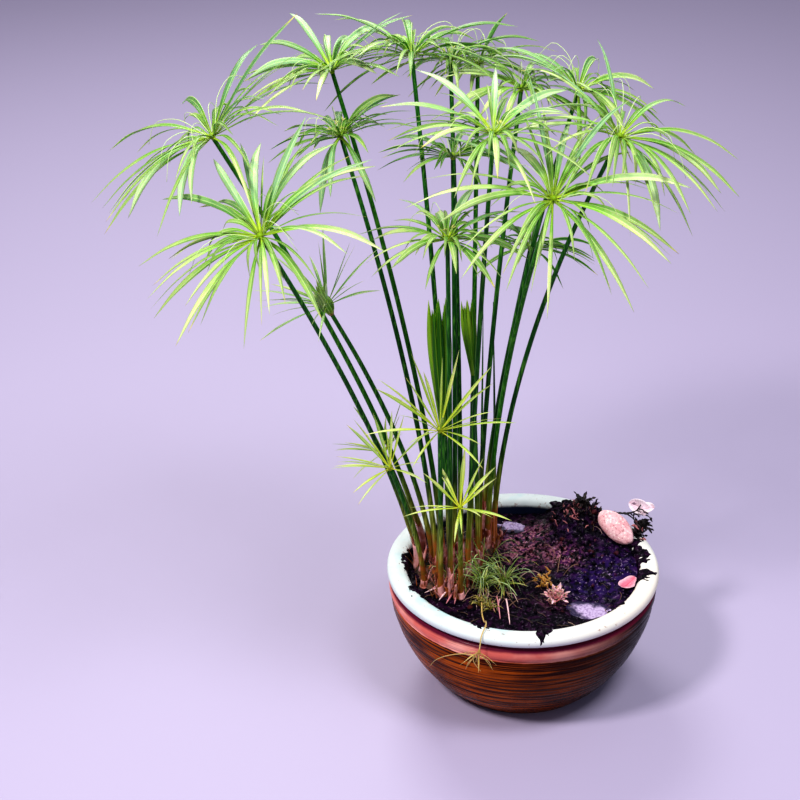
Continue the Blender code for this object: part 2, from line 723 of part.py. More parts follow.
def main():
    clear_scene()
    finishes = {
        "pot": material("pot_glaze", (0.42, 0.16, 0.09), 0.25),
        "mud": material("mud", (0.035, 0.025, 0.030), 0.55),
        "water": material("standing_water", (0.030, 0.026, 0.040), 0.05),
        "crown": material("root_crown", (0.10, 0.055, 0.03), 0.8),
        "stem": material("stem_green", (0.045, 0.16, 0.04), 0.45),
        "bract": material("bract_green", (0.22, 0.48, 0.10), 0.45),
        "young": material("young_green", (0.42, 0.60, 0.10), 0.45),
        "stone": material("pink_stone", (0.72, 0.48, 0.42), 0.7),
        "petal": material("fallen_leaf", (0.75, 0.30, 0.30), 0.6),
        "litter": material("litter", (0.06, 0.035, 0.03), 0.85),
        "withered": material("withered", (0.55, 0.22, 0.12), 0.75),
    }
    crowd = Crowd()
    make_pot(finishes["pot"])
    make_soil(finishes["mud"])
    make_crown(finishes["crown"])
    for name in PUDDLES:
        make_puddle(name, finishes["water"])
    add_object("pebble", to_mesh("pebble", pebble_mesh(0.0)), finishes["stone"], sharp_angle=60)
    add_object("fallen_leaf", to_mesh("fallen_leaf", leaf_mesh(0.0)), finishes["petal"])
    crowd_the_bowl(crowd)
    make_runner(finishes["stem"], crowd)
    along = PEBBLE_TURN.to_3x3() @ Vector((PEBBLE_HALF[0] - PEBBLE_HALF[1], 0, 0))
    crowd.add([PEBBLE_CENTRE - along, PEBBLE_CENTRE + along], PEBBLE_HALF[1] + CLEARANCE, -1)
    paths = make_stems(finishes, crowd)
    make_twig(finishes["litter"], crowd)
    tuft_finishes = {"seedling_1": "bract", "seedling_2": "bract", "withered_sprig": "withered",
                     "litter_tuft": "litter"}
    for i, name in enumerate(TUFTS):
        make_tuft(name, finishes[tuft_finishes[name]], crowd, 100 + i)
    make_plantlet(finishes["young"], crowd, 120)
    make_umbrellas(paths, finishes, crowd)


main()
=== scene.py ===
# %% [markdown]
# # An umbrella sedge in a glazed bowl
# This lesson dresses the bare solids of a potted plant. Twenty-two stems lean out of a round bowl of
# wet mud: twenty end in an umbrella of narrow bracts, and two in a bud that is still folded. We load
# the solids, read from them where every stem and bract runs, and grow finer pieces along the same
# lines, so that the looks and the solids never part. Every cell makes one piece or one finish and
# prints what it made.

# %% Load the solids
import math
import random

import bmesh
import bpy
import numpy as np
from mathutils import Matrix, Vector, noise


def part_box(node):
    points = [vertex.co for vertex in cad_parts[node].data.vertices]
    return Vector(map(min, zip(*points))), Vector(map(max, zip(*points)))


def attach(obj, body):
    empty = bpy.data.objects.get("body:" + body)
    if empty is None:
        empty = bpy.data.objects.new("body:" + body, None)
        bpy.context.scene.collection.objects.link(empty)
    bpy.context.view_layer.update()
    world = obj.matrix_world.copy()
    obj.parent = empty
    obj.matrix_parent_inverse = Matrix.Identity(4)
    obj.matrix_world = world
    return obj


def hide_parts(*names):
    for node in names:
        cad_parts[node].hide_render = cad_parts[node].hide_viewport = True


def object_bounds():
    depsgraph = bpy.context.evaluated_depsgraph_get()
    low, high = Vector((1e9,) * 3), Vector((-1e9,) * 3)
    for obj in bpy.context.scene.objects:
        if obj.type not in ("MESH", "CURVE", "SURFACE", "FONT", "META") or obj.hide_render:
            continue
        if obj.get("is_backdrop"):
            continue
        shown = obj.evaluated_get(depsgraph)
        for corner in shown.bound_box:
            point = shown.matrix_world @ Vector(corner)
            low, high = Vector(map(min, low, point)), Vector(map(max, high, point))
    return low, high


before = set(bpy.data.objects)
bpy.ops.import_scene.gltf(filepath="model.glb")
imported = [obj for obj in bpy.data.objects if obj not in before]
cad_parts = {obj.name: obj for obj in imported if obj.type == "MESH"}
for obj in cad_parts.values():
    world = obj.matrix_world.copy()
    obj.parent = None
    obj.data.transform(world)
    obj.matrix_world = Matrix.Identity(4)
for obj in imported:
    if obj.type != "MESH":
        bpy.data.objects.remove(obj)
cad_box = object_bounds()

MM = 0.001
UPWARDS = np.array([0.0, 0.0, 1.0])
print("solids:", len(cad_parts), "box:", [tuple(round(c, 3) for c in corner) for corner in cad_box])

# %% [markdown]
# ## The camera
# The photograph was taken from in front and above, looking down at about thirty degrees. The bowl's
# lip shows as an ellipse, and an ellipse says from where a circle is seen. Its width and height gave
# the distance, the height and the aim below. A long lens keeps the stems nearly parallel, as they are
# there.

# %% Camera
EYE = Vector((0.0, -2.5216, 1.8367))
RIGHT = Vector((0.9974, 0.0717, 0.0))
UP = Vector((-0.0344, 0.4788, 0.8773))
BACK = Vector((0.0629, -0.8750, 0.4800))
LENS_MM, SENSOR_MM = 91.5, 36.0


def stand(name, data):
    """Puts data into the scene as an object."""
    made = bpy.data.objects.new(name, data)
    bpy.context.scene.collection.objects.link(made)
    return made


camera_data = bpy.data.cameras.new("camera")
camera_data.lens = LENS_MM
camera_data.sensor_width = SENSOR_MM
camera = stand("camera", camera_data)
camera.matrix_world = Matrix.Translation(EYE) @ Matrix((RIGHT, UP, BACK)).transposed().to_4x4()
bpy.context.scene.camera = camera
print("camera at", tuple(EYE), "with a lens of", LENS_MM, "mm")

# %% [markdown]
# ## Floor and light
# Everything round the real bowl is a bright lavender, so a studio floor of that tint keeps the
# colours near. The sun came from the upper left, in front of the bowl, so the strongest lamp stands
# there; the right side of the bowl falls into shade. A lamp overhead reaches the umbrellas at the
# right, and one from behind makes the edges of the bracts glow. The photograph has deep blacks and
# strong greens, so the picture is developed with the plain view transform and some more contrast,
# instead of the softer default.

# %% Floor and lights
FLOOR_COLOUR, FLOOR_ROUGHNESS = (0.37, 0.32, 0.48), 0.6
AIR_COLOUR, AIR_STRENGTH = (0.84, 0.86, 1.0), 0.26
# Each lamp: its name, its place, the point it faces, its size, its power in watts and its colour.
LAMPS = (("key", (-1.8, -1.7, 3.2), (-0.1, 0.0, 0.5), 0.6, 118.0, (1.0, 0.97, 0.90)),
         ("top", (1.0, -0.9, 3.2), (0.0, 0.0, 0.8), 1.0, 68.0, (0.98, 1.0, 0.96)),
         ("fill", (2.4, -2.0, 1.8), (0.0, 0.0, 0.4), 2.2, 6.0, (0.90, 0.92, 1.0)),
         ("back", (-0.9, 2.4, 2.6), (0.0, 0.0, 0.7), 1.4, 60.0, (1.0, 1.0, 0.95)))


def lay_floor(half):
    """A square of floor that reaches as far as half to each side."""
    mesh = bpy.data.meshes.new("floor")
    corners = [(-half, -half, 0), (half, -half, 0), (half, half, 0), (-half, half, 0)]
    mesh.from_pydata(corners, [], [(0, 1, 2, 3)])
    paint = bpy.data.materials.new("floor")
    paint.use_nodes = True
    shader = paint.node_tree.nodes["Principled BSDF"]
    shader.inputs["Base Color"].default_value = (*FLOOR_COLOUR, 1.0)
    shader.inputs["Roughness"].default_value = FLOOR_ROUGHNESS
    mesh.materials.append(paint)
    return stand("floor", mesh)


lay_floor(12.0)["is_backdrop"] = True
for name, spot, aim, size, power, colour in LAMPS:
    lamp = bpy.data.lights.new(name, "AREA")
    lamp.size, lamp.energy, lamp.color = size, power, colour
    made = stand(name, lamp)
    made.location = spot
    made.rotation_euler = (Vector(aim) - Vector(spot)).to_track_quat("-Z", "Y").to_euler()

air = bpy.data.worlds.new("air")
air.use_nodes = True
air.node_tree.nodes["Background"].inputs["Color"].default_value = (*AIR_COLOUR, 1.0)
air.node_tree.nodes["Background"].inputs["Strength"].default_value = AIR_STRENGTH
bpy.context.scene.world = air
bpy.context.scene.view_settings.view_transform = "Standard"
bpy.context.scene.view_settings.look = "Medium High Contrast"

# %% [markdown]
# ## Shader maths in plain Python
# A material is a graph of nodes. Wiring each one by hand hides what it does, so one small class wraps a
# socket and overloads the operators: `1 - mask * 0.5` adds the Math nodes by itself. A second class
# holds a material and has one method for every other node.

# %% Value and Finish


def connect(tree, place, term):
    """Gives a socket a link if the term is another node's output, and a plain value if not."""
    if isinstance(term, Value):
        tree.links.new(term.socket, place)
    elif isinstance(term, tuple) and len(term) < len(place.default_value):
        place.default_value = (*term, 1.0)
    else:
        place.default_value = term


class Value:
    """What a node gives out. Arithmetic on it adds Math nodes."""

    def __init__(self, tree, socket):
        self.tree = tree
        self.socket = socket

    def maths(self, operation, *terms):
        node = self.tree.nodes.new("ShaderNodeMath")
        node.operation = operation
        for place, term in zip(node.inputs, terms):
            connect(self.tree, place, term)
        return Value(self.tree, node.outputs[0])

    def __add__(self, other):
        return self.maths("ADD", self, other)

    def __sub__(self, other):
        return self.maths("SUBTRACT", self, other)

    def __rsub__(self, other):
        return self.maths("SUBTRACT", other, self)

    def __mul__(self, other):
        return self.maths("MULTIPLY", self, other)

    def size(self):
        return self.maths("ABSOLUTE", self)

    def ripple(self, count):
        """Runs from 0 to 1 and back, count times for each 1 that the value grows."""
        return self.maths("SINE", self * (math.tau * count)) * 0.5 + 0.5

    __radd__ = __add__
    __rmul__ = __mul__


class Finish:
    """A material that is put together from Python."""

    def __init__(self, name, even):
        self.material = bpy.data.materials.new(name)
        self.material.use_nodes = True
        self.tree = self.material.node_tree
        self.shader = self.tree.nodes["Principled BSDF"]
        for socket, value in even.items():
            self.shader.inputs[socket].default_value = value

    def node(self, kind, settings, inputs, output=0):
        made = self.tree.nodes.new("ShaderNode" + kind)
        for name, value in settings.items():
            setattr(made, name, value)
        for name, term in inputs.items():
            connect(self.tree, made.inputs[name], term)
        return Value(self.tree, made.outputs[output])

    def mark(self, name):
        """A number that the mesh carries at each point."""
        return self.node("Attribute", {"attribute_name": name}, {}, "Fac")

    def place(self, stretch=(1.0, 1.0, 1.0)):
        spot = self.node("TexCoord", {}, {}, "Object")
        return self.node("Mapping", {}, {"Vector": spot, "Scale": stretch})

    def cloud(self, scale, detail=3.0, stretch=(1.0, 1.0, 1.0)):
        """Cloudy noise around 0.5, with about scale lumps to the metre."""
        return self.node("TexNoise", {}, {"Vector": self.place(stretch), "Scale": scale, "Detail": detail})

    def step(self, value, low, high):
        """0 below low, 1 above high, and a smooth rise between them."""
        return self.node("MapRange", {"interpolation_type": "SMOOTHSTEP"},
                         {"Value": value, "From Min": low, "From Max": high})

    def blend(self, share, first, second):
        """One colour where the share is 0, another where it is 1."""
        return self.node("Mix", {"data_type": "RGBA"}, {0: share, 6: first, 7: second}, 2)

    def wear(self, colour, roughness, height, strength, depth):
        """Sets what changes over the surface: its colour, its roughness and a relief depth metres deep."""
        relief = self.node("Bump", {}, {"Height": height, "Strength": strength, "Distance": depth})
        for socket, value in (("Base Color", colour), ("Roughness", roughness), ("Normal", relief)):
            connect(self.tree, self.shader.inputs[socket], value)
        print(f"{self.material.name}: {len(self.tree.nodes)} nodes")
        return self


print("operators:", [name for name in vars(Value) if name.startswith("__") and name != "__init__"])

# %% [markdown]
# ## Collecting points into pieces
# Everything here is a closed skin: rings of points in a row, with a face between each two
# neighbours and a cap at both ends. `Shape` collects such skins and turns them into one piece. Each
# point also carries five marks that the finishes read: how far along it lies, how far across, a tone
# that differs from blade to blade, how dry it is, and how cool its green is.

# %% Shape
MARKS = ("along", "across", "tone", "dry", "cool")


def skin(rows, sides):
    """The faces of a closed skin over rows of rings, with a cap at each end."""
    first = np.arange(sides)
    after = (first + 1) % sides
    faces = []
    for row in range(rows - 1):
        low, high = row * sides, (row + 1) * sides
        faces += np.stack([low + first, low + after, high + after, high + first], axis=1).tolist()
    faces.append(first[::-1].tolist())
    faces.append((first + (rows - 1) * sides).tolist())
    return faces


class Shape:
    """Skins that together make one piece."""

    def __init__(self):
        self.points = []
        self.faces = []
        self.marks = {name: [] for name in MARKS}
        self.count = 0

    def add(self, points, faces, **marks):
        points = np.asarray(points, dtype=float).reshape(-1, 3)
        self.points.append(points)
        self.faces += [[i + self.count for i in face] for face in faces]
        for name in MARKS:
            self.marks[name].append(np.broadcast_to(marks.get(name, 0.0), len(points)))
        self.count += len(points)

    def rings(self, rings, **marks):
        rows, sides = rings.shape[:2]
        self.add(rings, skin(rows, sides), **marks)

    def piece(self, name, finish, slot, *nodes):
        """Makes the object, lets it ride on the body, and stands it in for its CAD nodes."""
        mesh = bpy.data.meshes.new(name)
        mesh.from_pydata(np.vstack(self.points).tolist(), [], self.faces)
        for mark, values in self.marks.items():
            mesh.attributes.new(mark, "FLOAT", "POINT").data.foreach_set(
                "value", np.concatenate(values).astype(np.float32))
        mesh.shade_smooth()
        mesh.materials.append(finish.material)
        made = stand(name, mesh)
        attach(made, "root")
        if nodes:
            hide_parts(*nodes)
        print(f"{name}: {sum(len(face) - 2 for face in self.faces)} triangles")


print("marks:", MARKS)

# %% [markdown]
# ## Courses, tubes and blades
# A stem or a blade is drawn along a course: a few points, joined by a smooth curve. At each point a
# frame of three directions says what is along, across and up. A tube puts a circle on each frame. A
# blade puts a shallow V there, because a sedge's bract is folded along its middle and ends in a long
# point.

# %% Courses


def ease(t):
    """Rises smoothly from 0 to 1 while t does."""
    t = np.clip(t, 0.0, 1.0)
    return t * t * (3.0 - 2.0 * t)


def distances(points):
    """How far along a path each of its points lies."""
    return np.concatenate([[0.0], np.cumsum(np.linalg.norm(np.diff(points, axis=0), axis=1))])


def round_turn(sides):
    """The angles of evenly spread points on a circle."""
    return math.tau * np.arange(sides) / sides


def flowing(points, count):
    """Evenly spread points on a smooth curve through a few given ones."""
    points = np.asarray(points, dtype=float)
    marks = distances(points)
    slopes = np.gradient(points, marks, axis=0)
    where = np.linspace(0.0, marks[-1], count)
    i = np.clip(np.searchsorted(marks, where, side="right") - 1, 0, len(points) - 2)
    span = (marks[i + 1] - marks[i])[:, None]
    t = (where - marks[i])[:, None] / span
    ahead = t * t * (3.0 - 2.0 * t)
    return (points[i] * (1.0 - ahead) + points[i + 1] * ahead
            + slopes[i] * span * t * (1.0 - t) ** 2 - slopes[i + 1] * span * t * t * (1.0 - t))


def frames(path, side):
    """The side and the upper side at each point of a path; the first side is as given."""
    ways = np.gradient(path, axis=0)
    ways /= np.linalg.norm(ways, axis=1)[:, None]
    sides = []
    for way in ways:
        side = side - way * side.dot(way)
        side = side / np.linalg.norm(side)
        sides.append(side)
    sides = np.array(sides)
    return sides, np.cross(ways, sides)


def any_side(path):
    """A direction that doesn't run along the path's start."""
    way = path[1] - path[0]
    return np.cross(way, (0.0, 1.0, 0.0) if abs(way[1]) < abs(way[0]) + abs(way[2]) else (1.0, 0.0, 0.0))


def tube(shape, path, radii, sides=8, ribs=0.0, **marks):
    """A round rod; ribs makes every second edge stand out by that share of the radius."""
    path = np.asarray(path, dtype=float)
    across, up = frames(path, any_side(path))
    turns = round_turn(sides)
    spread = 1.0 + ribs * np.where(np.arange(sides) % 2 == 0, 1.0, -1.0)
    reach = np.broadcast_to(radii, len(path))[:, None] * spread[None, :]
    rings = (path[:, None, :] + (reach * np.cos(turns))[:, :, None] * across[:, None, :]
             + (reach * np.sin(turns))[:, :, None] * up[:, None, :])
    marks.setdefault("along", np.repeat(np.linspace(0.0, 1.0, len(path)), sides))
    shape.rings(rings, **marks)


def thread(shape, line, count, wide, thin, sides, **marks):
    """A tube through a few points that thins towards its end; gives back its path."""
    path = flowing(line, count)
    tube(shape, path, np.linspace(wide, thin, count), sides=sides, **marks)
    return path


print("the top of a bow over three points:", flowing([(0, 0, 0), (1, 1, 0), (2, 0, 0)], 5)[2].tolist())

# %% Blades
# A blade's eight-sided section, from one edge over its upper side to the other edge and back below.
ACROSS = np.array([1.0, 0.55, 0.0, -0.55, -1.0, -0.55, 0.0, 0.55])
OVER = np.array([0.0, 0.5, 0.5, 0.5, 0.0, -0.5, -0.5, -0.5])
BLADE_STATIONS = 20


def blade(shape, line, side, width, fold=0.32, thick=0.0006, twist=0.0, root=0.36, wave=0.0,
          blunt=0.42, stations=BLADE_STATIONS, **marks):
    """A narrow leaf along a line, folded to a V. From the share blunt on it runs to a point."""
    path = flowing(line, stations)
    sides, ups = frames(path, side)
    along = np.linspace(0.0, 1.0, stations)
    taper = 1.0 - 0.97 * (np.clip(along - blunt, 0.0, 1.0) / (1.0 - blunt)) ** 1.6
    half = 0.5 * width * (root + (1.0 - root) * ease(along / 0.55)) * taper
    turn = (twist * along + wave * np.sin(along * 9.0))[:, None]
    across = sides * np.cos(turn) + ups * np.sin(turn)
    up = ups * np.cos(turn) - sides * np.sin(turn)
    lift = half[:, None] * fold * np.abs(ACROSS)[None, :] + thick * taper[:, None] * OVER[None, :]
    rings = (path[:, None, :] + (half[:, None] * ACROSS[None, :])[:, :, None] * across[:, None, :]
             + lift[:, :, None] * up[:, None, :])
    shape.rings(rings, along=np.repeat(along, len(ACROSS)), across=np.tile(ACROSS, stations), **marks)


print("a blade has", BLADE_STATIONS * len(ACROSS), "points")

# %% [markdown]
# ## Reading the solids
# The solids know where each stem and each bract runs. A stem there is a rod of six-sided rings, and
# walking from ring to ring gives its middle line. A bract there is a thin wedge: its tip is the only
# kind of point with three neighbours, and two steps back from the tip lie the points of its two
# rings. Reading these is safer than repeating numbers, because a moved stem moves its looks too.

# %% Read stems and bracts
ROD_SIDES = 6


def welded(node):
    """A solid's points, doubles merged, with the neighbours of each."""
    bm = bmesh.new()
    bm.from_mesh(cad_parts[node].data)
    bmesh.ops.remove_doubles(bm, verts=bm.verts, dist=2e-5)
    bm.verts.index_update()
    points = np.array([tuple(v.co) for v in bm.verts])
    near = [{e.other_vert(v).index for e in v.link_edges} for v in bm.verts]
    bm.free()
    return points, near


def outward(near, level, seen):
    """The points next to a level that haven't been met yet."""
    return set().union(*(near[i] for i in level)) - seen


def rod(node, rank):
    """The middle line of a rod and its radii, from the end that ranks lowest."""
    points, near = welded(node)
    level = set(np.argsort(rank(points))[:ROD_SIDES].tolist())
    seen = set(level)
    middles, radii = [], []
    while level:
        spots = points[sorted(level)]
        middles.append(spots.mean(axis=0))
        radii.append(np.linalg.norm(spots - middles[-1], axis=1).mean())
        level = outward(near, level, seen)
        seen |= level
    return np.array(middles), np.array(radii)


def bracts(node):
    """Each bract's line of four points, from the hub to the tip, with its side and its width."""
    points, near = welded(node)
    found = []
    for tip in range(len(points)):
        if len(near[tip]) != 3:
            continue
        line, level, seen = [points[tip]], {tip}, {tip}
        for _ in range(2):
            level = outward(near, level, seen)
            seen |= level
            trio = points[sorted(level)]
            a, b = max(((0, 1), (1, 2), (0, 2)),
                       key=lambda pair: np.linalg.norm(trio[pair[0]] - trio[pair[1]]))
            line.append((trio[a] + trio[b]) / 2.0)
            across = trio[b] - trio[a]
        line.append(points[sorted(outward(near, level, seen))].mean(axis=0))
        found.append((np.array(line[::-1]), across, float(np.linalg.norm(across))))
    return found


def upright(points):
    """Ranks points by their height."""
    return points[:, 2]


stem_line, _ = rod("stem_01", upright)
print("stem_01:", len(stem_line), "rings; umbrella_01:", len(bracts("umbrella_01")), "bracts")

# %% [markdown]
# ## The bowl
# The bowl was thrown on a wheel: it is a profile spun round an axis, a little out of true, with throwing
# lines that a hand left on its body. Under the fat white lip runs a groove, its dark colour a painted shadow
# under the lip, then a raised band, then the red-brown body. Spinning the profile ourselves gives finer
# curves than the solid has, and each point keeps its distance along the profile, so that the glazes can meet
# on lines that run round the bowl.

# %% Bowl shape
BOWL_SIDES = 200
# The runs of the profile, as distances from the axis and heights in millimetres.
FOOT = [(2, 0), (60, 0), (112, 0), (117, 0.4), (119, 1.6)]
BODY = [(122, 5), (137, 20), (153, 40), (166, 60), (177, 82), (185, 103), (190.3, 120), (193.2, 135),
        (194.5, 145)]
BAND = [(194.3, 146.2), (193.6, 147.4), (194.6, 149.2), (196.2, 151.6), (197, 155), (197, 159.5),
        (196.3, 163), (194.8, 165.4), (193.3, 166.8)]
GROOVE = [(191.2, 168.2), (189.6, 169.8), (189.9, 171.2)]
LIP = [(192, 172.2), (196, 173.8), (198.8, 176.8), (199.8, 181), (199, 184.8), (196.6, 187.5), (192.5, 189.2),
       (187, 189.9), (181, 189.5), (176, 188.3), (172.6, 186), (170.9, 182.8), (170.2, 179)]
INSIDE = [(170, 170), (170, 150), (166, 120), (158, 90), (138, 52), (110, 22), (96, 14.4), (60, 14), (2, 14)]
RUN_POINTS = (8, 84, 16, 6, 34, 24)


def bowl_profile():
    """The profile in millimetres, with how far along it each point lies and where each run ends."""
    runs = [FOOT, BODY, BAND, GROOVE, LIP, INSIDE]
    profile, ends = [], []
    for i, (run, count) in enumerate(zip(runs, RUN_POINTS)):
        start = [] if i == 0 else [runs[i - 1][-1]]
        course = flowing([(x, z, 0.0) for x, z in start + run], count)
        profile += course[:, :2].tolist() if i == 0 else course[1:, :2].tolist()
        ends.append(len(profile) - 1)
    profile = np.array(profile)
    along = distances(profile)
    return profile, along, along[ends]


profile, bowl_along, part_ends = bowl_profile()
BODY_END, BAND_END, GROOVE_END, LIP_END = part_ends[1:5]
BOWL_TALL, BODY_TOP = 190.0, 146.0


def thrown(radius, height, turn):
    """A point of the bowl in metres, with the small faults of a hand-thrown pot."""
    high = height / BOWL_TALL
    radius = radius + high * (0.5 * np.sin(2.0 * turn + 0.5) + 0.3 * np.sin(3.0 * turn + 1.7))
    lines = np.sin(height * 0.86) * 0.30 + np.sin(height * 1.71 + 1.0) * 0.16
    radius = radius + lines * np.clip((BODY_TOP - height) / 8.0, 0.0, 1.0) * np.clip(height / 10.0, 0.0, 1.0)
    height = height + 0.4 * np.sin(2.0 * turn + 1.0) * (high > 0.7)
    return np.stack([radius * np.cos(turn), radius * np.sin(turn), height], axis=-1) * MM


turns = round_turn(BOWL_SIDES)
bowl_rings = np.array([thrown(np.full(BOWL_SIDES, radius), np.full(BOWL_SIDES, height), turns)
                       for radius, height in profile])
print("parts of the profile end at", [round(float(end), 1) for end in part_ends], "mm")

# %% [markdown]
# ## The glazes
# A worn white glaze covers the lip, with turquoise tints that are strongest on the inner half of the lip at
# the front and front left, and brown where it wore through.
# The groove is painted a dark maroon that stands for the shadow under the lip. The band is a salmon pink,
# partly the glaze's own colour and partly a painted reflection of the bright sky. The body is an amber brown
# with darker lines from the wheel. Towards the right the band and the body go nearly black, partly a darker
# glaze and partly painted shade. The inside is a navy black, partly its glaze and partly painted shade. One
# material holds all of them: each glaze is a colour, and masks made from the distance along the profile
# choose between them. A little noise on that distance keeps the borders from looking ruled.

# %% Glaze finish
WHITE, TURQUOISE, CREAM, BARE = (0.63, 0.68, 0.70), (0.32, 0.60, 0.68), (0.64, 0.56, 0.51), (0.24, 0.10, 0.07)
SALMON, ROSE, MAROON = (0.70, 0.155, 0.130), (0.94, 0.42, 0.36), (0.115, 0.008, 0.030)
AMBER, UMBER, GLAZE_AND_SHADE_BLACK = (0.44, 0.085, 0.003), (0.034, 0.003, 0.001), (0.006, 0.0008, 0.001)
NAVY = (0.006, 0.010, 0.030)
GLASSY = {"Coat Weight": 0.015, "Coat Roughness": 0.10, "IOR": 1.5, "Specular IOR Level": 0.045}


def glaze_finish():
    glaze = Finish("bowl_glaze", GLASSY)
    course = glaze.mark("along") + (glaze.cloud(70.0) - 0.5) * 2.4
    band = glaze.step(course, BODY_END + 0.4, BODY_END + 1.6)
    groove = glaze.step(course, BAND_END - 7.5, BAND_END - 2.0)
    lip = glaze.step(course, GROOVE_END + 1.0, GROOVE_END + 3.2)
    inside = glaze.step(course, LIP_END - 5.0, LIP_END + 1.0)
    lines = glaze.cloud(1.0, 2.0, (9.0, 9.0, 330.0))
    patches = glaze.cloud(14.0, 4.0)
    body = glaze.blend(glaze.step(lines, 0.42, 0.62), UMBER, AMBER)
    body = glaze.blend(glaze.step(patches, 0.45, 0.75) * 0.7, body, UMBER)
    # Partly painted reflection: the band's salmon and rose are partly its red-brown glaze and partly the
    # bright sky mirrored in it.
    rim = glaze.blend(glaze.step(patches, 0.35, 0.65), SALMON, ROSE)
    rim = glaze.blend(glaze.step(lines, 0.62, 0.75) * 0.5, rim, UMBER)
    turquoise_share = glaze.step(glaze.cloud(24.0, 3.0) * 0.8 + glaze.mark("across") * 0.24, 0.50, 0.72)
    turquoise_share = turquoise_share * (0.3 + glaze.step(course, LIP_END - 40.0, LIP_END - 24.0) * 0.7)
    white = glaze.blend(glaze.mark("tone") * 0.8, WHITE, CREAM)
    white = glaze.blend(turquoise_share * 0.5, white, TURQUOISE)
    edge = (1 - glaze.step(course, GROOVE_END + 1.0, GROOVE_END + 7.0)
            + glaze.step(course, LIP_END - 14.0, LIP_END - 6.0))
    worn = glaze.step(glaze.cloud(120.0, 5.0) + edge * 0.10, 0.66, 0.72)
    white = glaze.blend(worn * 0.6, white, BARE)
    specks = glaze.step(glaze.cloud(420.0, 2.0), 0.70, 0.76)
    white = glaze.blend(specks * 0.35, white, BARE)
    colour = glaze.blend(band, body, rim)
    # Partly painted shade: towards the right the band and body darken to nearly black.
    colour = glaze.blend(glaze.mark("cool") * (lines * 0.4 + 0.85), colour, GLAZE_AND_SHADE_BLACK)
    # Painted shadow: the groove's maroon stands for the shade under the overhanging lip.
    colour = glaze.blend(groove, colour, MAROON)
    colour = glaze.blend(lip, colour, white)
    # Partly painted shade: the inside goes navy black, for its glaze and for the shadow on the inner wall.
    colour = glaze.blend(inside, colour, NAVY)
    dull = glaze.step(glaze.cloud(45.0), 0.35, 0.75)
    roughness = dull * 0.22 + lip * 0.10 + worn * lip * 0.25 + 0.16
    pits = glaze.cloud(260.0, 4.0) * 0.4 + lines * 0.6
    return glaze.wear(colour, roughness, pits, 0.22, 0.0006)


glaze = glaze_finish()


def turned_near(degrees, spread):
    """For each side of the bowl, how near it lies to an angle: 1 there, 0 far off."""
    away = np.abs((turns - math.radians(degrees) + math.pi) % math.tau - math.pi)
    return np.exp(-(away / math.radians(spread)) ** 2)


# The marks say where the lip is turquoise (across) and cream (tone), and where the band and body go nearly
# black towards the right, partly a darker glaze and partly painted shade (cool).
turquoise_share = turned_near(-140, 38) + turned_near(-98, 7)
creamy, glaze_and_shade = turned_near(-25, 55), turned_near(-18, 58)
bowl = Shape()
bowl.rings(bowl_rings, along=np.repeat(bowl_along, BOWL_SIDES),
           across=np.tile(np.clip(turquoise_share, 0, 1), len(profile)),
           tone=np.tile(creamy, len(profile)), cool=np.tile(glaze_and_shade, len(profile)))
bowl.piece("glazed_bowl", glaze, "glaze", "pot")

# %% [markdown]
# ## The mud
# Wet mud fills the bowl to just under the lip. It rises to a heap at the back right, where the
# pebble leans, and dips under two pools. The mud's large form repeats the solid's humps. Clods,
# crumbs and pits come from noise at several sizes. A height field is the simplest way to do this:
# the mud has no overhangs that anyone could see.

# %% Height of the mud
MUD_LEVEL, MUD_EDGE, MUD_UNDERSIDE = 0.168, 0.1698, 0.130
POOLS = {node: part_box(node) for node in ("puddle_front", "puddle_back")}


def hump(x, y, centre, height, spread):
    """A soft hill: its centre and spread are in millimetres, its height in metres."""
    away = (x / MM - centre[0]) ** 2 + (y / MM - centre[1]) ** 2
    return height * math.exp(-away / (2.0 * spread ** 2))


def smooth_mud(x, y):
    """The same rise and fall as the solid's top."""
    height = MUD_LEVEL + hump(x, y, (105, 105), 0.034, 45) + hump(x, y, (78, 140), 0.021, 26)
    height += hump(x, y, (160, 15), 0.011, 38)
    height += hump(x, y, (-105, 10), 0.006, 60) - hump(x, y, (95, -84), 0.006, 24)
    height -= hump(x, y, (-16, 134), 0.006, 24)
    return height + 0.0012 * math.sin(135.0 * x + 1.3) * math.cos(118.0 * y)


def in_pool(x, y):
    """1 in the middle of a pool, 0 outside all of them."""
    deepest = 0.0
    for low, high in POOLS.values():
        middle = (low + high) / 2.0
        across = (high - low) / 2.0
        away = math.hypot((x - middle.x) / across.x, (y - middle.y) / across.y)
        deepest = max(deepest, float(ease((1.25 - away) / 0.5)))
    return deepest


def mud_height(x, y):
    """The mud with its clods and crumbs."""
    spot = Vector((x, y, 0.0))
    rough = 1.0 + hump(x, y, (95, 110), 1.3, 40)
    clods = noise.fractal(spot * 38.0, 0.9, 2.1, 3) * 0.0028
    lumps = max(0.0, noise.noise(spot * 120.0)) * 0.0022 + max(0.0, noise.noise(spot * 260.0)) * 0.0016
    crumbs = noise.fractal(spot * 560.0, 0.8, 2.0, 2) * 0.0007
    return smooth_mud(x, y) + (clods + lumps + crumbs) * rough * (1.0 - 0.55 * in_pool(x, y))


def on_mud(x, y, lift=0.0):
    """A point above the mud, from a place in millimetres and a lift in metres."""
    return np.array([x * MM, y * MM, mud_height(x * MM, y * MM) + lift])


print("heap:", on_mud(105, 105).round(4).tolist(), "front pool:", on_mud(95, -84).round(4).tolist())

# %% Mud mesh
MUD_RINGS, MUD_SIDES = 120, 400
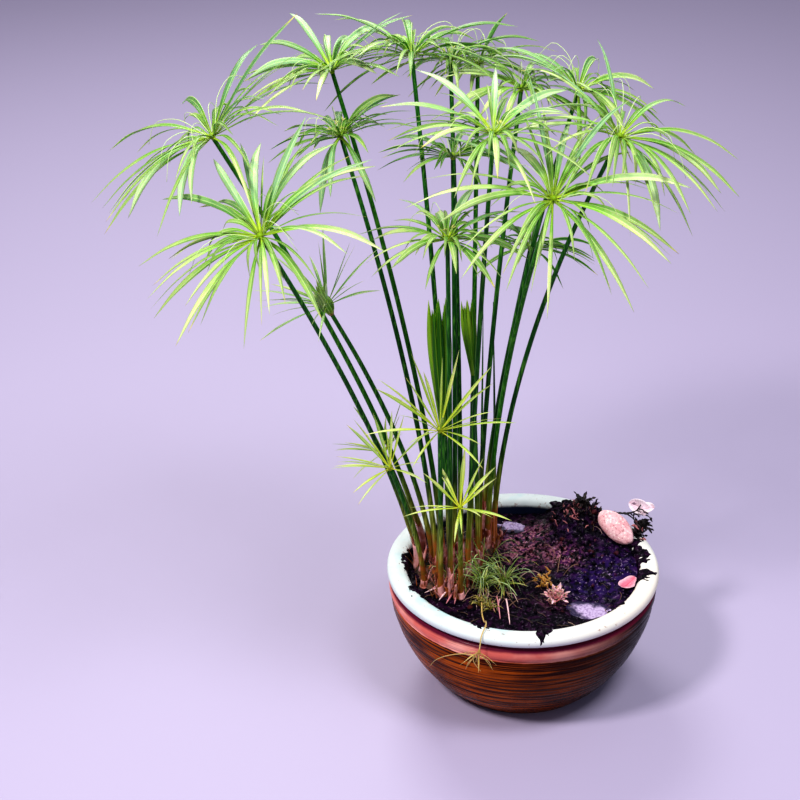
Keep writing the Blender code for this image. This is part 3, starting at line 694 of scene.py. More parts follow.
# Where the mud is bluish, partly its own colour and partly a painted reflection of the sky, and where it has
# dried to a dusty rose: middle, share and spread.
PATCHES = {"cool": (((135, 0), 1.0, 32), ((100, -30), 0.9, 26), ((62, 78), 0.3, 20)),
           "dry": (((70, 34), 0.95, 12), ((56, 44), 0.7, 12), ((0, 108), 0.95, 16), ((20, 100), 0.7, 12),
                   ((0, 50), 0.75, 24), ((-18, 88), 0.5, 14), ((44, -68), 0.25, 14))}


def patch(kind, x, y):
    """How strongly a kind of mud shows at a place, from 0 to 1."""
    return min(1.0, sum(hump(x, y, centre, share, spread) for centre, share, spread in PATCHES[kind]))


def mud_shape():
    """A round height field, closed by a plain underside in the bowl."""
    mud = Shape()
    chance = random.Random("mud edge")
    rows = []
    for ring in range(1, MUD_RINGS + 1):
        radius = MUD_EDGE * (ring / MUD_RINGS) ** 0.85
        row = []
        for side in range(MUD_SIDES):
            turn = math.tau * side / MUD_SIDES
            x, y = radius * math.cos(turn), radius * math.sin(turn)
            height = mud_height(x, y)
            row.append((x, y, height if ring < MUD_RINGS else height + chance.uniform(-0.0015, 0.001)))
        rows.append(row)
    under = [[(x * inward, y * inward, MUD_UNDERSIDE) for x, y, _ in rows[-1]] for inward in (0.999, 0.3)]
    rows = np.array(rows + under)
    kinds = {kind: [patch(kind, x, y) for x, y in rows[..., :2].reshape(-1, 2)] for kind in PATCHES}
    mud.rings(rows, tone=0.5, **kinds)
    return mud


CRUMB_SIDES, CRUMBS = 7, 1200
CRUMB_FIELD, CRUMB_REACH = 0.165, 0.162


def crumb_rings(chance):
    """Points on a rough little ball, as rings from its foot to its top."""
    rings = []
    for level in np.linspace(-0.9, 0.95, 5):
        wide = math.sqrt(1.0 - level * level)
        rings.append([(wide * math.cos(math.tau * i / CRUMB_SIDES) * chance.uniform(0.45, 1.3),
                       wide * math.sin(math.tau * i / CRUMB_SIDES) * chance.uniform(0.45, 1.3),
                       level + chance.uniform(-0.25, 0.25)) for i in range(CRUMB_SIDES)])
    return np.array(rings)


def scatter_crumbs(mud, count):
    """Loose crumbs, half sunk; many of them lie on and below the heap."""
    chance = random.Random("crumbs")
    for _ in range(count):
        heap = chance.random() < 0.45
        x = chance.gauss(0.088, 0.035) if heap else chance.uniform(-CRUMB_FIELD, CRUMB_FIELD)
        y = chance.gauss(0.075, 0.045) if heap else chance.uniform(-CRUMB_FIELD, CRUMB_FIELD)
        if math.hypot(x, y) > CRUMB_REACH or in_pool(x, y) > 0.3:
            continue
        size = 0.0009 + 0.0042 * chance.random() ** 3.0
        spin = (Matrix.Rotation(chance.uniform(0, math.tau), 3, "Z")
                @ Matrix.Rotation(chance.uniform(-1, 1), 3, "X"))
        rings = crumb_rings(chance) * (size, size * chance.uniform(0.6, 1.0), size * chance.uniform(0.5, 0.9))
        rings = rings @ np.array(spin).T + (x, y, mud_height(x, y) + 0.2 * size)
        mud.rings(rings, tone=chance.random(), along=1.0, cool=patch("cool", x, y), dry=patch("dry", x, y))


print("patches of mud:", {kind: len(spots) for kind, spots in PATCHES.items()})

# %% [markdown]
# ## The colour of wet mud
# Wet mud is nearly black, but not one black: purple and dusty rose where it dries, bluish where it stays wet;
# the purple and the blue are partly the mud's own colour and partly a painted reflection of a lavender sky.
# Glints where a film of water catches the light are painted into the colour as pale lilac specks. Colour,
# roughness and bump all follow the same clouds, so that the wet places are both dark and shiny.

# %% Mud finish
SOOT, PLUM, INDIGO = (0.0016, 0.0006, 0.0035), (0.065, 0.009, 0.070), (0.012, 0.003, 0.055)
ROSE_DUST, RUST, PAINTED_GLINT_LILAC = (0.36, 0.130, 0.165), (0.110, 0.022, 0.024), (0.40, 0.27, 0.46)


def mud_finish():
    mud = Finish("wet_mud", {"IOR": 1.4, "Specular IOR Level": 0.08})
    cool, dry = mud.mark("cool"), mud.mark("dry")
    wide = mud.cloud(26.0, 4.0)
    mid = mud.cloud(110.0, 4.0)
    fine = mud.cloud(560.0, 3.0)
    clods = mud.cloud(230.0, 4.0)
    # Partly painted reflection: the plum and indigo stand in part for the lavender sky mirrored in the wet
    # mud.
    colour = mud.blend(mud.step(mid, 0.48, 0.62) * (cool * 0.6 + dry + 0.2), SOOT, PLUM)
    colour = mud.blend(cool * mud.step(mid + wide * 0.3, 0.50, 0.75), colour, INDIGO)
    colour = mud.blend(dry * mud.step(clods + mid * 0.5 + wide * 0.4, 0.88, 1.14), colour, ROSE_DUST)
    # Painted highlight: pale lilac glints where wet clods would catch the light.
    glint = mud.step(clods, 0.58, 0.66) * mud.step(fine, 0.44, 0.58)
    colour = mud.blend(glint * (cool * 0.45 + dry * 0.55 + 0.16), colour, PAINTED_GLINT_LILAC)
    crumb = mud.mark("along") * mud.step(mud.mark("tone"), 0.80, 1.0)
    colour = mud.blend(crumb * 0.5, colour, RUST)
    wet = mud.step(mud.cloud(60.0, 3.0), 0.45, 0.60)
    roughness = 0.62 - wet * 0.40 + fine * 0.15
    return mud.wear(colour, roughness, mid * 0.5 + fine * 0.5, 0.6, 0.0015)


mud_paint = mud_finish()
mud = mud_shape()
scatter_crumbs(mud, CRUMBS)
mud.piece("wet_mud", mud_paint, "mud", "soil")

# %% [markdown]
# ## Mud on the lip
# A tongue of mud has run over the front of the lip, and more is smeared over it at the right and the
# back. Each smear is a thin closed slab that follows the lip's own curve and sinks into the glaze
# along its edge, so that its outline comes out ragged instead of cut.

# %% A sheet that follows the lip


def slab(shape, top, bottom, **marks):
    """A closed sheet between two grids of points of the same size."""
    shape.rings(np.concatenate([top, bottom[:, ::-1]], axis=1), **marks)


def lip_point(course, turn):
    """A point on the bowl at a distance along its profile, and the way that the glaze faces there."""
    spots = [thrown(np.interp(c, bowl_along, profile[:, 0]), np.interp(c, bowl_along, profile[:, 1]), turn)
             for c in (course - 0.5, course, course + 0.5)]
    way = spots[2] - spots[0]
    round_way = np.array([-math.sin(turn), math.cos(turn), 0.0])
    normal = np.cross(round_way, way)
    return spots[1], normal / np.linalg.norm(normal)


print("on top of the lip:", lip_point(LIP_END - 30.0, 0.0)[0].round(4).tolist())

# %% Smears
LIP_RADIUS, SMEAR_START = 0.185, -6.0
# Each smear: its angle in degrees, how far it reaches out over the lip, half its width and its
# thickness in millimetres, and a seed for its lumps. The last six lie under the heap.
SMEARS = ((-81.0, 43, 9.0, 4.4, 1.7), (-79.0, 32, 14, 4.0, 2.0), (-5.5, 39, 12, 3.6, 3.0),
          (-10.0, 24, 12, 3.4, 4.0), (5.5, 24, 15, 3.8, 5.0), (10.5, 28, 16, 4.2, 6.0),
          (15.0, 22, 15, 4.2, 7.0), (21.0, 26, 12, 5.0, 8.0), (27.0, 28, 12, 7.0, 9.0),
          (33.0, 20, 12, 6.0, 10.0), (42, 22, 17.0, 6, 20.0), (49, 27, 17.0, 9, 21.0),
          (56, 29, 17.0, 11, 22.0), (62, 29, 17.0, 12, 23.0), (68, 26, 17.0, 9, 24.0),
          (73, 18, 17.0, 6, 25.0))


def smear(shape, angle, end, width, thick, seed):
    """Mud over the lip's profile, to a distance in millimetres before the lip's inner end."""
    top, bottom = [], []
    for share in np.linspace(0.0, 1.0, 22):
        course = LIP_END - (SMEAR_START + (end - SMEAR_START) * share)
        narrow = width * (1.0 - 0.55 * share + 0.25 * math.sin(share * 11.0 + seed))
        upper, lower = [], []
        for across in np.linspace(-1.0, 1.0, 15):
            turn = math.radians(angle) + across * narrow * MM / LIP_RADIUS
            spot, normal = lip_point(course, turn)
            edge = 1.0 - max(abs(across), share) ** 3
            rough = noise.noise(Vector(spot) * 210.0 + Vector((seed, 0, 0))) * 0.0022
            upper.append(spot + normal * (thick * MM * edge + rough - 0.0010))
            lower.append(spot - normal * 0.0022)
        top.append(upper)
        bottom.append(lower)
    slab(shape, np.array(top), np.array(bottom), tone=0.4)


smears = Shape()
for angle, end, width, thick, seed in SMEARS:
    smear(smears, angle, end, width, thick, seed)
# A ragged edge of small ones runs on along the lip's inside, from one angle to another.
EDGE_FROM, EDGE_TO, FRONT = -190.0, 22.0, -84
chance = random.Random("ragged edge")
angle = EDGE_FROM
while angle < EDGE_TO:
    reach = (8.0 + 16.0 * max(0.0, noise.noise(Vector((angle * 0.07, 0.0, 5.0))) + 0.25)
             + chance.uniform(-1.5, 2.5))
    smear(smears, angle, reach - (4.0 if angle > FRONT else 0.0), chance.uniform(5.0, 17.0),
          chance.uniform(1.8, 3.4), 40.0 + angle)
    angle += chance.uniform(1.2, 5.2)
smears.piece("mud_on_lip", mud_paint, "mud")

# %% [markdown]
# ## Standing water
# Two shallow pools stand on the mud. Each is a thin dark sheet, wider than its solid by a few millimetres:
# the lumps of the mud come up through its edge and draw the shoreline. Still water is smooth and shows what
# is bright above it, so the sheet's colour is a painted reflection of the sky, pale lilac in the middle, and
# dark with silt at its shore.

# %% Pools
POOL_SIDES = 64
# The rows of a pool: how far out as a share of the solid's reach, and how far below its surface.
POOL_ROWS = ((0.02, 0.0), (0.3, 0.0), (0.6, 0.0), (0.9, 0.0), (1.22, 0.0), (1.24, 0.0), (1.24, 0.002),
             (0.9, 0.004))
# The two pale lilacs are a painted reflection of the bright sky.
PAINTED_SKY_PALE, PAINTED_SKY_LILAC, SILT = (0.44, 0.34, 0.54), (0.27, 0.19, 0.36), (0.010, 0.003, 0.035)


def water_finish():
    water = Finish("standing_water", {"IOR": 1.33, "Coat Weight": 0.1, "Coat Roughness": 0.15})
    silt = water.step(water.mark("along") + (water.cloud(110.0, 5.0) - 0.5) * 1.6, 0.45, 1.05)
    shine = water.blend(water.step(water.cloud(300.0, 3.0), 0.46, 0.60), PAINTED_SKY_PALE, PAINTED_SKY_LILAC)
    ripples = water.cloud(130.0, 2.0)
    return water.wear(water.blend(silt, shine, SILT), silt * 0.15 + 0.16, ripples, 0.12, 0.001)


water = water_finish()
for node, (low, high) in POOLS.items():
    middle, reach = (low + high) / 2.0, (high - low) / 2.0
    turn = round_turn(POOL_SIDES)
    to_lip = np.clip(np.cos(turn - math.atan2(middle.y, middle.x)), 0.0, 1.0)
    pool = Shape()
    rows, shores = [], []
    for share, depth in POOL_ROWS:
        shores.append(share * (1.0 - 0.55 * to_lip))
        wide = share * (1.0 + 0.09 * np.sin(3.0 * turn + 0.6) + 0.04 * np.sin(7.0 * turn))
        rows.append(np.stack([middle.x + reach.x * wide * np.cos(turn),
                              middle.y + reach.y * wide * np.sin(turn),
                              np.full(POOL_SIDES, high.z - depth)], axis=1))
    pool.rings(np.array(rows)[::-1], along=np.array(shores)[::-1].ravel())
    pool.piece(node + "_water", water, "water", node)

# %% [markdown]
# ## Greens
# A bract is yellow-green where it leaves the hub, a fuller green after that, and pale in its outer half; that
# pale grows with the blade's tone, so it is partly bleaching and partly painted light. Its veins run
# lengthwise and a lighter rib follows the fold. The umbrellas in front stand in the light and the ones behind
# in shade, so each blade has a tone between 0 and 1, its umbrella's light give or take some chance, and a low
# tone paints shade by darkening the blade towards a deep green. One half of each fold is painted darker as
# its shaded side, and a cool mark turns a blade minty.

# %% Leaf finish
HEART, BRIGHT, PALE = (0.44, 0.64, 0.012), (0.19, 0.45, 0.035), (0.68, 0.80, 0.36)
DEEP, MINT = (0.006, 0.080, 0.005), (0.40, 0.70, 0.42)
STRAW, SCORCH = (0.62, 0.52, 0.10), (0.20, 0.11, 0.03)
LEAF = {"IOR": 1.45, "Specular IOR Level": 0.15, "Subsurface Weight": 0.25,
        "Subsurface Radius": (0.5, 1.0, 0.12), "Subsurface Scale": 0.004}
VEINS = 4.5


def leaf_finish(name, heart, bright, pale, deep, mint=MINT):
    """A finish for blades, from the hub's colour to the tip's, with veins and a rib."""
    leaf = Finish(name, LEAF)
    along, across, tone, dry, cool = (leaf.mark(mark) for mark in MARKS)
    edge, ridges, streaks = across.size(), across.ripple(VEINS), leaf.cloud(55.0, 3.0)
    colour = leaf.blend(leaf.step(along, 0.02, 0.32), heart, bright)
    # Partly painted light: the pale outer half grows with the tone.
    colour = leaf.blend(leaf.step(along + streaks * 0.4, 0.42, 0.92) * tone, colour, pale)
    colour = leaf.blend(cool * leaf.step(along, 0.10, 0.45) * 0.75, colour, mint)
    # Painted shade: a low tone darkens the blade towards deep.
    colour = leaf.blend((1 - tone) * 0.85, colour, deep)
    colour = leaf.blend(leaf.step(ridges, 0.35, 0.95) * 0.26, colour, deep)
    # Painted shade: one half of the fold is darker, as its shaded side.
    colour = leaf.blend(leaf.step(across, 0.05, 0.30) * 0.40, colour, deep)
    colour = leaf.blend(leaf.step(edge, 0.80, 0.97) * 0.55, colour, pale)
    rib = 1 - leaf.step(edge, 0.03, 0.16)
    colour = leaf.blend(rib * 0.35, colour, pale)
    colour = leaf.blend(leaf.step(along + dry * 0.18, 1.04, 1.16), colour, STRAW)
    colour = leaf.blend(leaf.step(along + dry * 0.11, 1.06, 1.12), colour, SCORCH)
    colour = leaf.blend(leaf.step(streaks, 0.60, 0.80) * 0.25, colour, heart)
    return leaf.wear(colour, streaks * 0.25 + 0.24, ridges * 0.7 + rib * 0.6, 0.35, 0.0003)


bract_green = leaf_finish("bract_green", HEART, BRIGHT, PALE, DEEP)
young_green = leaf_finish("young_green", (0.70, 0.66, 0.020), (0.48, 0.58, 0.035), (0.66, 0.74, 0.26),
                          (0.06, 0.22, 0.012), (0.52, 0.62, 0.30))

# %% [markdown]
# ## Stems
# Each stem is a slender rod with fine ribs along it, dark green and glossy. The lowest part is
# reddish brown, wrapped in old papery sheaths that are torn at the top. The ribs are real: every
# second edge of a 22-sided tube stands out a little.

# %% Stem finish
BOTTLE, FOREST, EMERALD = (0.004, 0.050, 0.006), (0.010, 0.092, 0.010), (0.020, 0.150, 0.006)
LEAFY, NIGHT = (0.10, 0.34, 0.030), (0.001, 0.012, 0.002)
OLIVE, MOSS = (0.12, 0.14, 0.010), (0.40, 0.40, 0.070)
RUSSET, TAN = (0.34, 0.080, 0.018), (0.18, 0.090, 0.014)
WINE, GINGER, BARK = (0.150, 0.018, 0.020), (0.46, 0.14, 0.030), (0.026, 0.004, 0.006)
DUSKY_PINK, SHELL_PINK = (0.62, 0.22, 0.20), (0.74, 0.38, 0.40)


def stem_finish():
    """Green above, olive and ruddy near the foot, and papery where the mark dry is 1."""
    stem = Finish("stem_green", {"IOR": 1.45, "Specular IOR Level": 0.12})
    along, across, tone, dry, height = (stem.mark(mark) for mark in MARKS)
    grain = stem.cloud(1.0, 3.0, (420.0, 420.0, 22.0))
    spots = stem.cloud(90.0, 3.0)
    green = stem.blend(stem.step(along, 0.10, 0.95), BOTTLE, FOREST)
    green = stem.blend(stem.step(tone, 0.45, 1.0) * 0.8, green, EMERALD)
    green = stem.blend(stem.step(grain, 0.50, 0.68) * 0.6, green, LEAFY)
    green = stem.blend(stem.step(1 - grain, 0.54, 0.70) * 0.7, green, NIGHT)
    olive = stem.blend(stem.step(grain, 0.42, 0.64), OLIVE, MOSS)
    green = stem.blend((1 - stem.step(height + (spots - 0.5) * 0.05, 0.06, 0.17)) * 0.75, green, olive)
    ruddy = stem.blend(stem.step(spots, 0.35, 0.65), RUSSET, TAN)
    green = stem.blend((1 - stem.step(height + (spots - 0.5) * 0.04, 0.03, 0.075)) * 0.9, green, ruddy)
    paper = stem.blend(tone, WINE, GINGER)
    paper = stem.blend(stem.step(grain, 0.46, 0.64) * 0.8, paper, BARK)
    paper = stem.blend(stem.step(1 - grain + across * 0.7, 0.56, 0.74) * 0.75, paper, DUSKY_PINK)
    paper = stem.blend(stem.step(spots + across * 0.8, 0.58, 0.85) * 0.80, paper, SHELL_PINK)
    return stem.wear(stem.blend(dry, green, paper), dry * 0.35 + grain * 0.25 + 0.22, grain, 0.35, 0.0005)


stem_green = stem_finish()

# %% Torn sheaths


def along_path(path, shares):
    """Places on a path at shares of its length, any array of them."""
    marks = np.linspace(0.0, 1.0, len(path))
    return np.stack([np.interp(shares, marks, path[:, axis]) for axis in range(3)], axis=-1)


def torn_sheath(shape, path, radii, tear, chance, sides=14, **marks):
    """A thin paper tube round a path, open and torn at the top. radii are those at both ends."""
    path = flowing(path, 24)
    across, up = frames(path, any_side(path))
    turn = round_turn(sides)
    phase = chance.uniform(0, math.tau)
    torn = 1.0 - tear * (0.5 + 0.5 * np.cos(turn + phase)) - 0.12 * np.array([chance.random() for _ in turn])
    rows = []
    for share, inset in [(s, 0.0) for s in np.linspace(0, 1, 7)] + [(s, 0.0005) for s in (0.985, 0.7, 0.4)]:
        where = share * torn
        radius = radii[0] + (radii[1] - radii[0]) * where - inset
        rows.append(along_path(path, where) + (radius * np.cos(turn))[:, None] * along_path(across, where)
                    + (radius * np.sin(turn))[:, None] * along_path(up, where))
    shape.rings(np.array(rows), along=0.1, dry=1.0, **marks)


print("halfway up stem_01:", along_path(stem_line, 0.5).round(3).tolist())

# %% Stems
STEM_STATIONS, STEM_SIDES = 46, 22
SUNK = 0.008
TALL_SHEATHS, LOW_SHEATHS = 0.16, 0.13


def grow_stem(node, chance):
    """The ribbed rod of one stem, with one to three sheaths round its foot."""
    line, radii = rod(node, upright)
    line = np.vstack([line[0] - (0.0, 0.0, SUNK), line])
    radii = np.concatenate([[radii[0]], radii])
    path = flowing(line, STEM_STATIONS)
    marks = distances(line)
    wide = np.interp(np.linspace(0.0, marks[-1], STEM_STATIONS), marks, radii)
    shape = Shape()
    # On a stem the mark cool carries the height above its foot.
    tube(shape, path, wide, sides=STEM_SIDES, ribs=0.035, tone=chance.random(),
         cool=np.repeat(path[:, 2] - path[1, 2], STEM_SIDES))
    tallest = TALL_SHEATHS if line[0][1] > 0.04 else LOW_SHEATHS
    for layer in range(chance.choice((1, 2, 3))):
        share = (1.0 - 0.30 * layer) * tallest * chance.uniform(0.5, 1.0)
        part = along_path(path, np.linspace(0.0, share, 8))
        ends = (wide[0] + 0.0011 + 0.0010 * layer, wide[8] + 0.0004 + 0.0005 * layer)
        torn_sheath(shape, part, ends, chance.uniform(0.20, 0.60), chance,
                    tone=chance.random() ** 1.5, across=chance.uniform(0, 0.4))
    return shape, path


stem_paths = {}
for kind, start in (("ribbed_", "stem_"), ("young_", "spike_")):
    for node in sorted(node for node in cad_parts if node.startswith(start)):
        shape, stem_paths[node] = grow_stem(node, random.Random(node))
        shape.piece(kind + node, stem_green, "stem_green", node)

# %% [markdown]
# ## Umbrellas
# An umbrella is a whorl of bracts round the stem's end. The solids give one line for each bract. We
# regrow each as a folded blade with its own width, twist and tone, and slip slimmer ones into the
# gaps, since the larger whorls have more than twenty. The broadest bracts show most, so a table says
# where the photograph has their tips. Close round the hub a fan of short blades and thin rays fills
# the middle, on a small knob of packed leaf bases. A few older umbrellas carry a spray of rays with
# brown spikelets, and one young whorl is still cupped like an egg.

# %% What sets one umbrella apart
UMBRELLAS, FIRST_YOUNG, CUPPED = range(1, 21), 16, 16
# How much light each one stands in, from 0 to 1; it is painted into the bracts' colour through their tone.
LIGHT = {1: 0.76, 2: 0.82, 3: 0.80, 4: 0.78, 5: 0.70, 6: 0.80, 7: 0.78, 8: 0.72, 9: 0.70, 10: 0.72,
         11: 0.72, 12: 0.74, 13: 0.50, 14: 0.36, 15: 0.22, 16: 0.85, 17: 0.85, 18: 0.8, 19: 0.9, 20: 0.95}
# How many rays with spikelets it carries, how many slim bracts a young one gains, how much slimmer
# than their solids its bracts are, how minty a young one is, and which ones vary little in tone.
FLOWERING = {4: 4, 7: 3, 13: 6, 9: 3}
GAINED = {CUPPED: 10, 18: 6, 19: 7}
SLIMMER = {2: 0.78, 3: 0.66, 18: 0.75, 19: 0.75}
YOUNG_MINT = {CUPPED: 0.5, 18: 0.8, 19: 0.8}
EVEN_TONED = (CUPPED, 20)
# The broadest bracts: where the tip lies from the hub, to the right, up and nearer as the camera sees
# it, and the width, all in millimetres; the last number says how minty the green is.
BROAD = {1: ((-66, 106, -60, 10.5, 0.8), (-3, 126, -50, 11.5, 0.7), (95, 126, -50, 9.0, 0.5),
             (148, 92, -20, 8.5, 0.2)),
         2: ((-50, 74, -60, 11.0, 0.3),),
         3: ((47, -128, 50, 10.5, 0.6), (132, -76, 10, 8.5, 0.2)),
         5: ((-37, -112, 60, 11.0, 0.9), (-108, -112, 30, 10.0, 0.6), (-19, -98, 80, 8.0, 0.5)),
         6: ((-60, 88, -55, 9.5, 1.0), (-6, 62, -85, 10.5, 0.7), (30, 60, -90, 10.0, 0.9),
             (76, 72, -65, 10.5, 0.9), (-110, -17, 40, 10.0, 0.9), (-10, -29, 60, 13.0, 0.2),
             (62, -16, 70, 10.0, 0.3), (-94, 24, 60, 7.5, 0.7)),
         13: ((-27, -106, 20, 10.0, 1.0), (-12, -88, 50, 9.0, 0.9), (48, -92, 30, 9.0, 0.5),
              (78, 61, -40, 9.0, 0.1), (-29, 30, -70, 10.0, 0.7), (0, 42, -80, 10.0, 0.7))}
print("broad bracts:", {number: len(tips) for number, tips in BROAD.items()})

# %% Knob, spikelets and cup
SPIKELETS = 4
CUP_BLADES = 12
# How a leaf base of the cup runs: up along the axis, and out from it.
CUP_COURSE = ((-0.013, 0.0035), (-0.005, 0.0093), (0.006, 0.0098), (0.016, 0.0078), (0.029, 0.0120))


def unit(vector):
    return vector / np.linalg.norm(vector)


def facing(line, side, axis):
    """The side turned so that the blade's channel opens to the axis' end."""
    way = unit(line[1] - line[0])
    return side if np.cross(way, side).dot(axis) > 0.0 else -side


def crossways(axis, guide=(0.3, 1.0, 0.1)):
    """Two directions square to an axis and to each other."""
    side = unit(np.cross(axis, guide))
    return side, np.cross(axis, side)


def knob(shape, centre, axis, radius, low, high, along=0.0, **marks):
    """The swollen middle of a whorl, from a stem's width to a blunt top."""
    shares = np.linspace(0.0, 1.0, 9)
    path = centre + axis * (low + (high - low) * shares)[:, None]
    wide = radius * (0.58 + 0.42 * np.sin(np.clip(shares * 1.25, 0, 1) * math.pi * 0.5))
    wide *= np.sqrt(np.clip(1.0 - (np.clip(shares - 0.55, 0, 1) / 0.46) ** 2, 0.02, 1.0))
    tube(shape, path, wide, sides=14, ribs=0.05, along=along, across=0.3, **marks)


def spray(shape, centre, axis, count, reach, chance):
    """Thin rays that each end in a few small spikelets."""
    side, other = crossways(axis)
    for i in range(count):
        turn = math.tau * (i + chance.uniform(-0.3, 0.3)) / count
        lean = chance.uniform(0.35, 1.0)
        way = unit(axis + lean * (side * math.cos(turn) + other * math.sin(turn)))
        end = centre + way * reach * chance.uniform(0.5, 1.0) - np.array([0, 0, 0.15 * reach * lean])
        thread(shape, [centre, centre + way * reach * 0.4, end], 8, 0.0006, 0.0004, 5, tone=0.5, dry=0.2)
        for _ in range(SPIKELETS):
            bud_way = unit(way + np.array([chance.uniform(-0.8, 0.8) for _ in range(3)]))
            grain = end + bud_way[None, :] * np.linspace(0.0, 0.006, 6)[:, None]
            tube(shape, grain, (0.0003, 0.0007, 0.0008, 0.0007, 0.0005, 0.0002), sides=6, along=1.0,
                 tone=0.6, dry=0.55)


def cup(shape, centre, axis, chance):
    """A young whorl whose leaf bases still stand together like an egg, brown underneath."""
    side, other = crossways(axis)
    knob(shape, centre, axis, 0.0088, -0.012, 0.012, along=0.3, tone=0.5)
    knob(shape, centre, axis, 0.0062, -0.017, -0.006, along=1.0, tone=0.1, dry=1.0)
    for i in range(CUP_BLADES):
        turn = math.tau * (i + chance.uniform(-0.2, 0.2)) / CUP_BLADES
        out = side * math.cos(turn) + other * math.sin(turn)
        tall = chance.uniform(0.8, 1.3)
        line = np.array([centre + axis * up * tall + out * far for up, far in CUP_COURSE])
        blade(shape, line, facing(line, np.cross(axis, out), -out), 0.0072, root=0.6, blunt=0.6,
              tone=chance.uniform(0.35, 0.8))


print("spikelets on umbrella_04:", FLOWERING[4] * SPIKELETS)

# %% Between the bracts


def from_hub(line, centre):
    """A bract's line with its start pulled in towards the middle of the hub."""
    return np.vstack([centre + (line[0] - centre) * 0.4, line[1:]])


def between(first, second, share, near=0.5):
    """A line that runs between two bracts of a whorl; near says how close to the second one."""
    middle = first * (1.0 - near) + second * near
    centre = (first[0] + second[0]) / 2.0
    reach = (np.linalg.norm(first - first[0], axis=1) + np.linalg.norm(second - second[0], axis=1)) / 2.0
    ways = middle - centre
    lengths = np.maximum(np.linalg.norm(ways, axis=1), 1e-6)
    return centre + ways / lengths[:, None] * reach[:, None] * share


def fan(shape, leaves, axis, light, chance):
    """Short blades close round the hub, darkened by a lower tone as painted shade, and thin rays that arch up
    between the bracts.
    """
    for i, (first, across, width) in enumerate(leaves):
        second = leaves[(i + 1) % len(leaves)][0]
        line = between(first, second, chance.uniform(0.32, 0.60), chance.uniform(0.1, 0.9))
        shares = np.linspace(0.0, 1.0, len(line))
        line = line + axis * (0.012 * np.sin(shares * math.pi))[:, None]
        if chance.random() < 0.6:
            # Painted shade: these short blades take a lower tone than their umbrella's light.
            blade(shape, line, facing(line, across, axis), width * chance.uniform(0.5, 0.9), stations=14,
                  fold=0.5, twist=chance.uniform(-0.9, 0.9),
                  tone=max(0.0, light - chance.uniform(0.05, 0.45)))
        else:
            line = line + axis * (chance.uniform(0.01, 0.03) * np.sin(shares * 2.6))[:, None]
            thread(shape, line, 12, 0.0006, 0.0003, 5, along=0.7, tone=0.8, cool=0.5)


first_two = [line for line, _, _ in bracts("umbrella_01")[:2]]
print("a line between two bracts ends at", between(*first_two, 0.9)[-1].round(3).tolist())

# %% Bracts of the solid


def solid_bracts(shape, number, leaves, centre, axis, chance):
    """A blade for each bract of the solid."""
    young, light = number >= FIRST_YOUNG, LIGHT[number]
    spread = 0.4 if number in EVEN_TONED else 1.0
    for line, across, width in leaves:
        line = from_hub(line, centre)
        heading = unit(line[2] - line[0])
        wide = width * chance.uniform(0.85, 1.42) * (1.0 - 0.25 * max(0.0, -heading[1]))
        wide *= SLIMMER.get(number, 1.0) if heading[2] > 0.3 or young else 1.0
        rise = float(np.clip(heading[2] * 1.4 + heading[1] * 0.4, 0.0, 1.0))
        blade(shape, line, facing(line, across, axis), wide, twist=chance.uniform(-0.7, 0.7),
              fold=chance.uniform(0.25, 0.60), wave=chance.uniform(0, 0.10), blunt=chance.uniform(0.42, 0.68),
              cool=YOUNG_MINT.get(number, 0.0) if young else rise,
              tone=min(1.0, max(0.0, light + chance.uniform(-0.45, 0.24) * spread)), dry=chance.random() ** 2)


def slim_bracts(shape, number, leaves, centre, axis, chance):
    """Slimmer blades between the solid's bracts; gives back how many."""
    extra = GAINED.get(number, 5 if number >= FIRST_YOUNG else len(leaves) - 3)
    for i in chance.sample(range(len(leaves)), extra):
        first, second = leaves[i], leaves[(i + 1) % len(leaves)]
        line = between(first[0], second[0], chance.uniform(0.75, 1.0), chance.uniform(0.2, 0.8))
        line = from_hub(line, centre)
        blade(shape, line, facing(line, first[1], axis), first[2] * chance.uniform(0.45, 0.95),
              twist=chance.uniform(-0.9, 0.9), tone=max(0.0, LIGHT[number] - chance.uniform(-0.1, 0.35)),
              dry=chance.random())
    return extra


print("slim bracts gained by some young umbrellas:", GAINED)

# %% Broad bracts


def broad_bracts(shape, number, centre, axis, chance):
    """The broadest blades, each bowed a little towards the axis' end."""
    for right, up, near, wide, mint in BROAD.get(number, ()):
        tip = np.array(RIGHT * right + UP * up + BACK * near) * MM
        bow = np.linalg.norm(tip) * 0.16
        line = np.array([centre + tip * share + axis * (bow * math.sin(math.pi * share))
                         for share in (0.02, 0.36, 0.70, 1.0)])
        blade(shape, line, facing(line, np.cross(np.array(BACK), tip), axis), wide * MM,
              twist=chance.uniform(-0.2, 0.2), fold=chance.uniform(0.18, 0.34), root=0.40, blunt=0.62,
              cool=mint, tone=LIGHT[number] + chance.uniform(0.0, 0.18))


reaches = [math.hypot(*tip[:3]) for tips in BROAD.values() for tip in tips]
print("broad bracts reach", round(min(reaches)), "to", round(max(reaches)), "mm")

# %% Grow the umbrellas


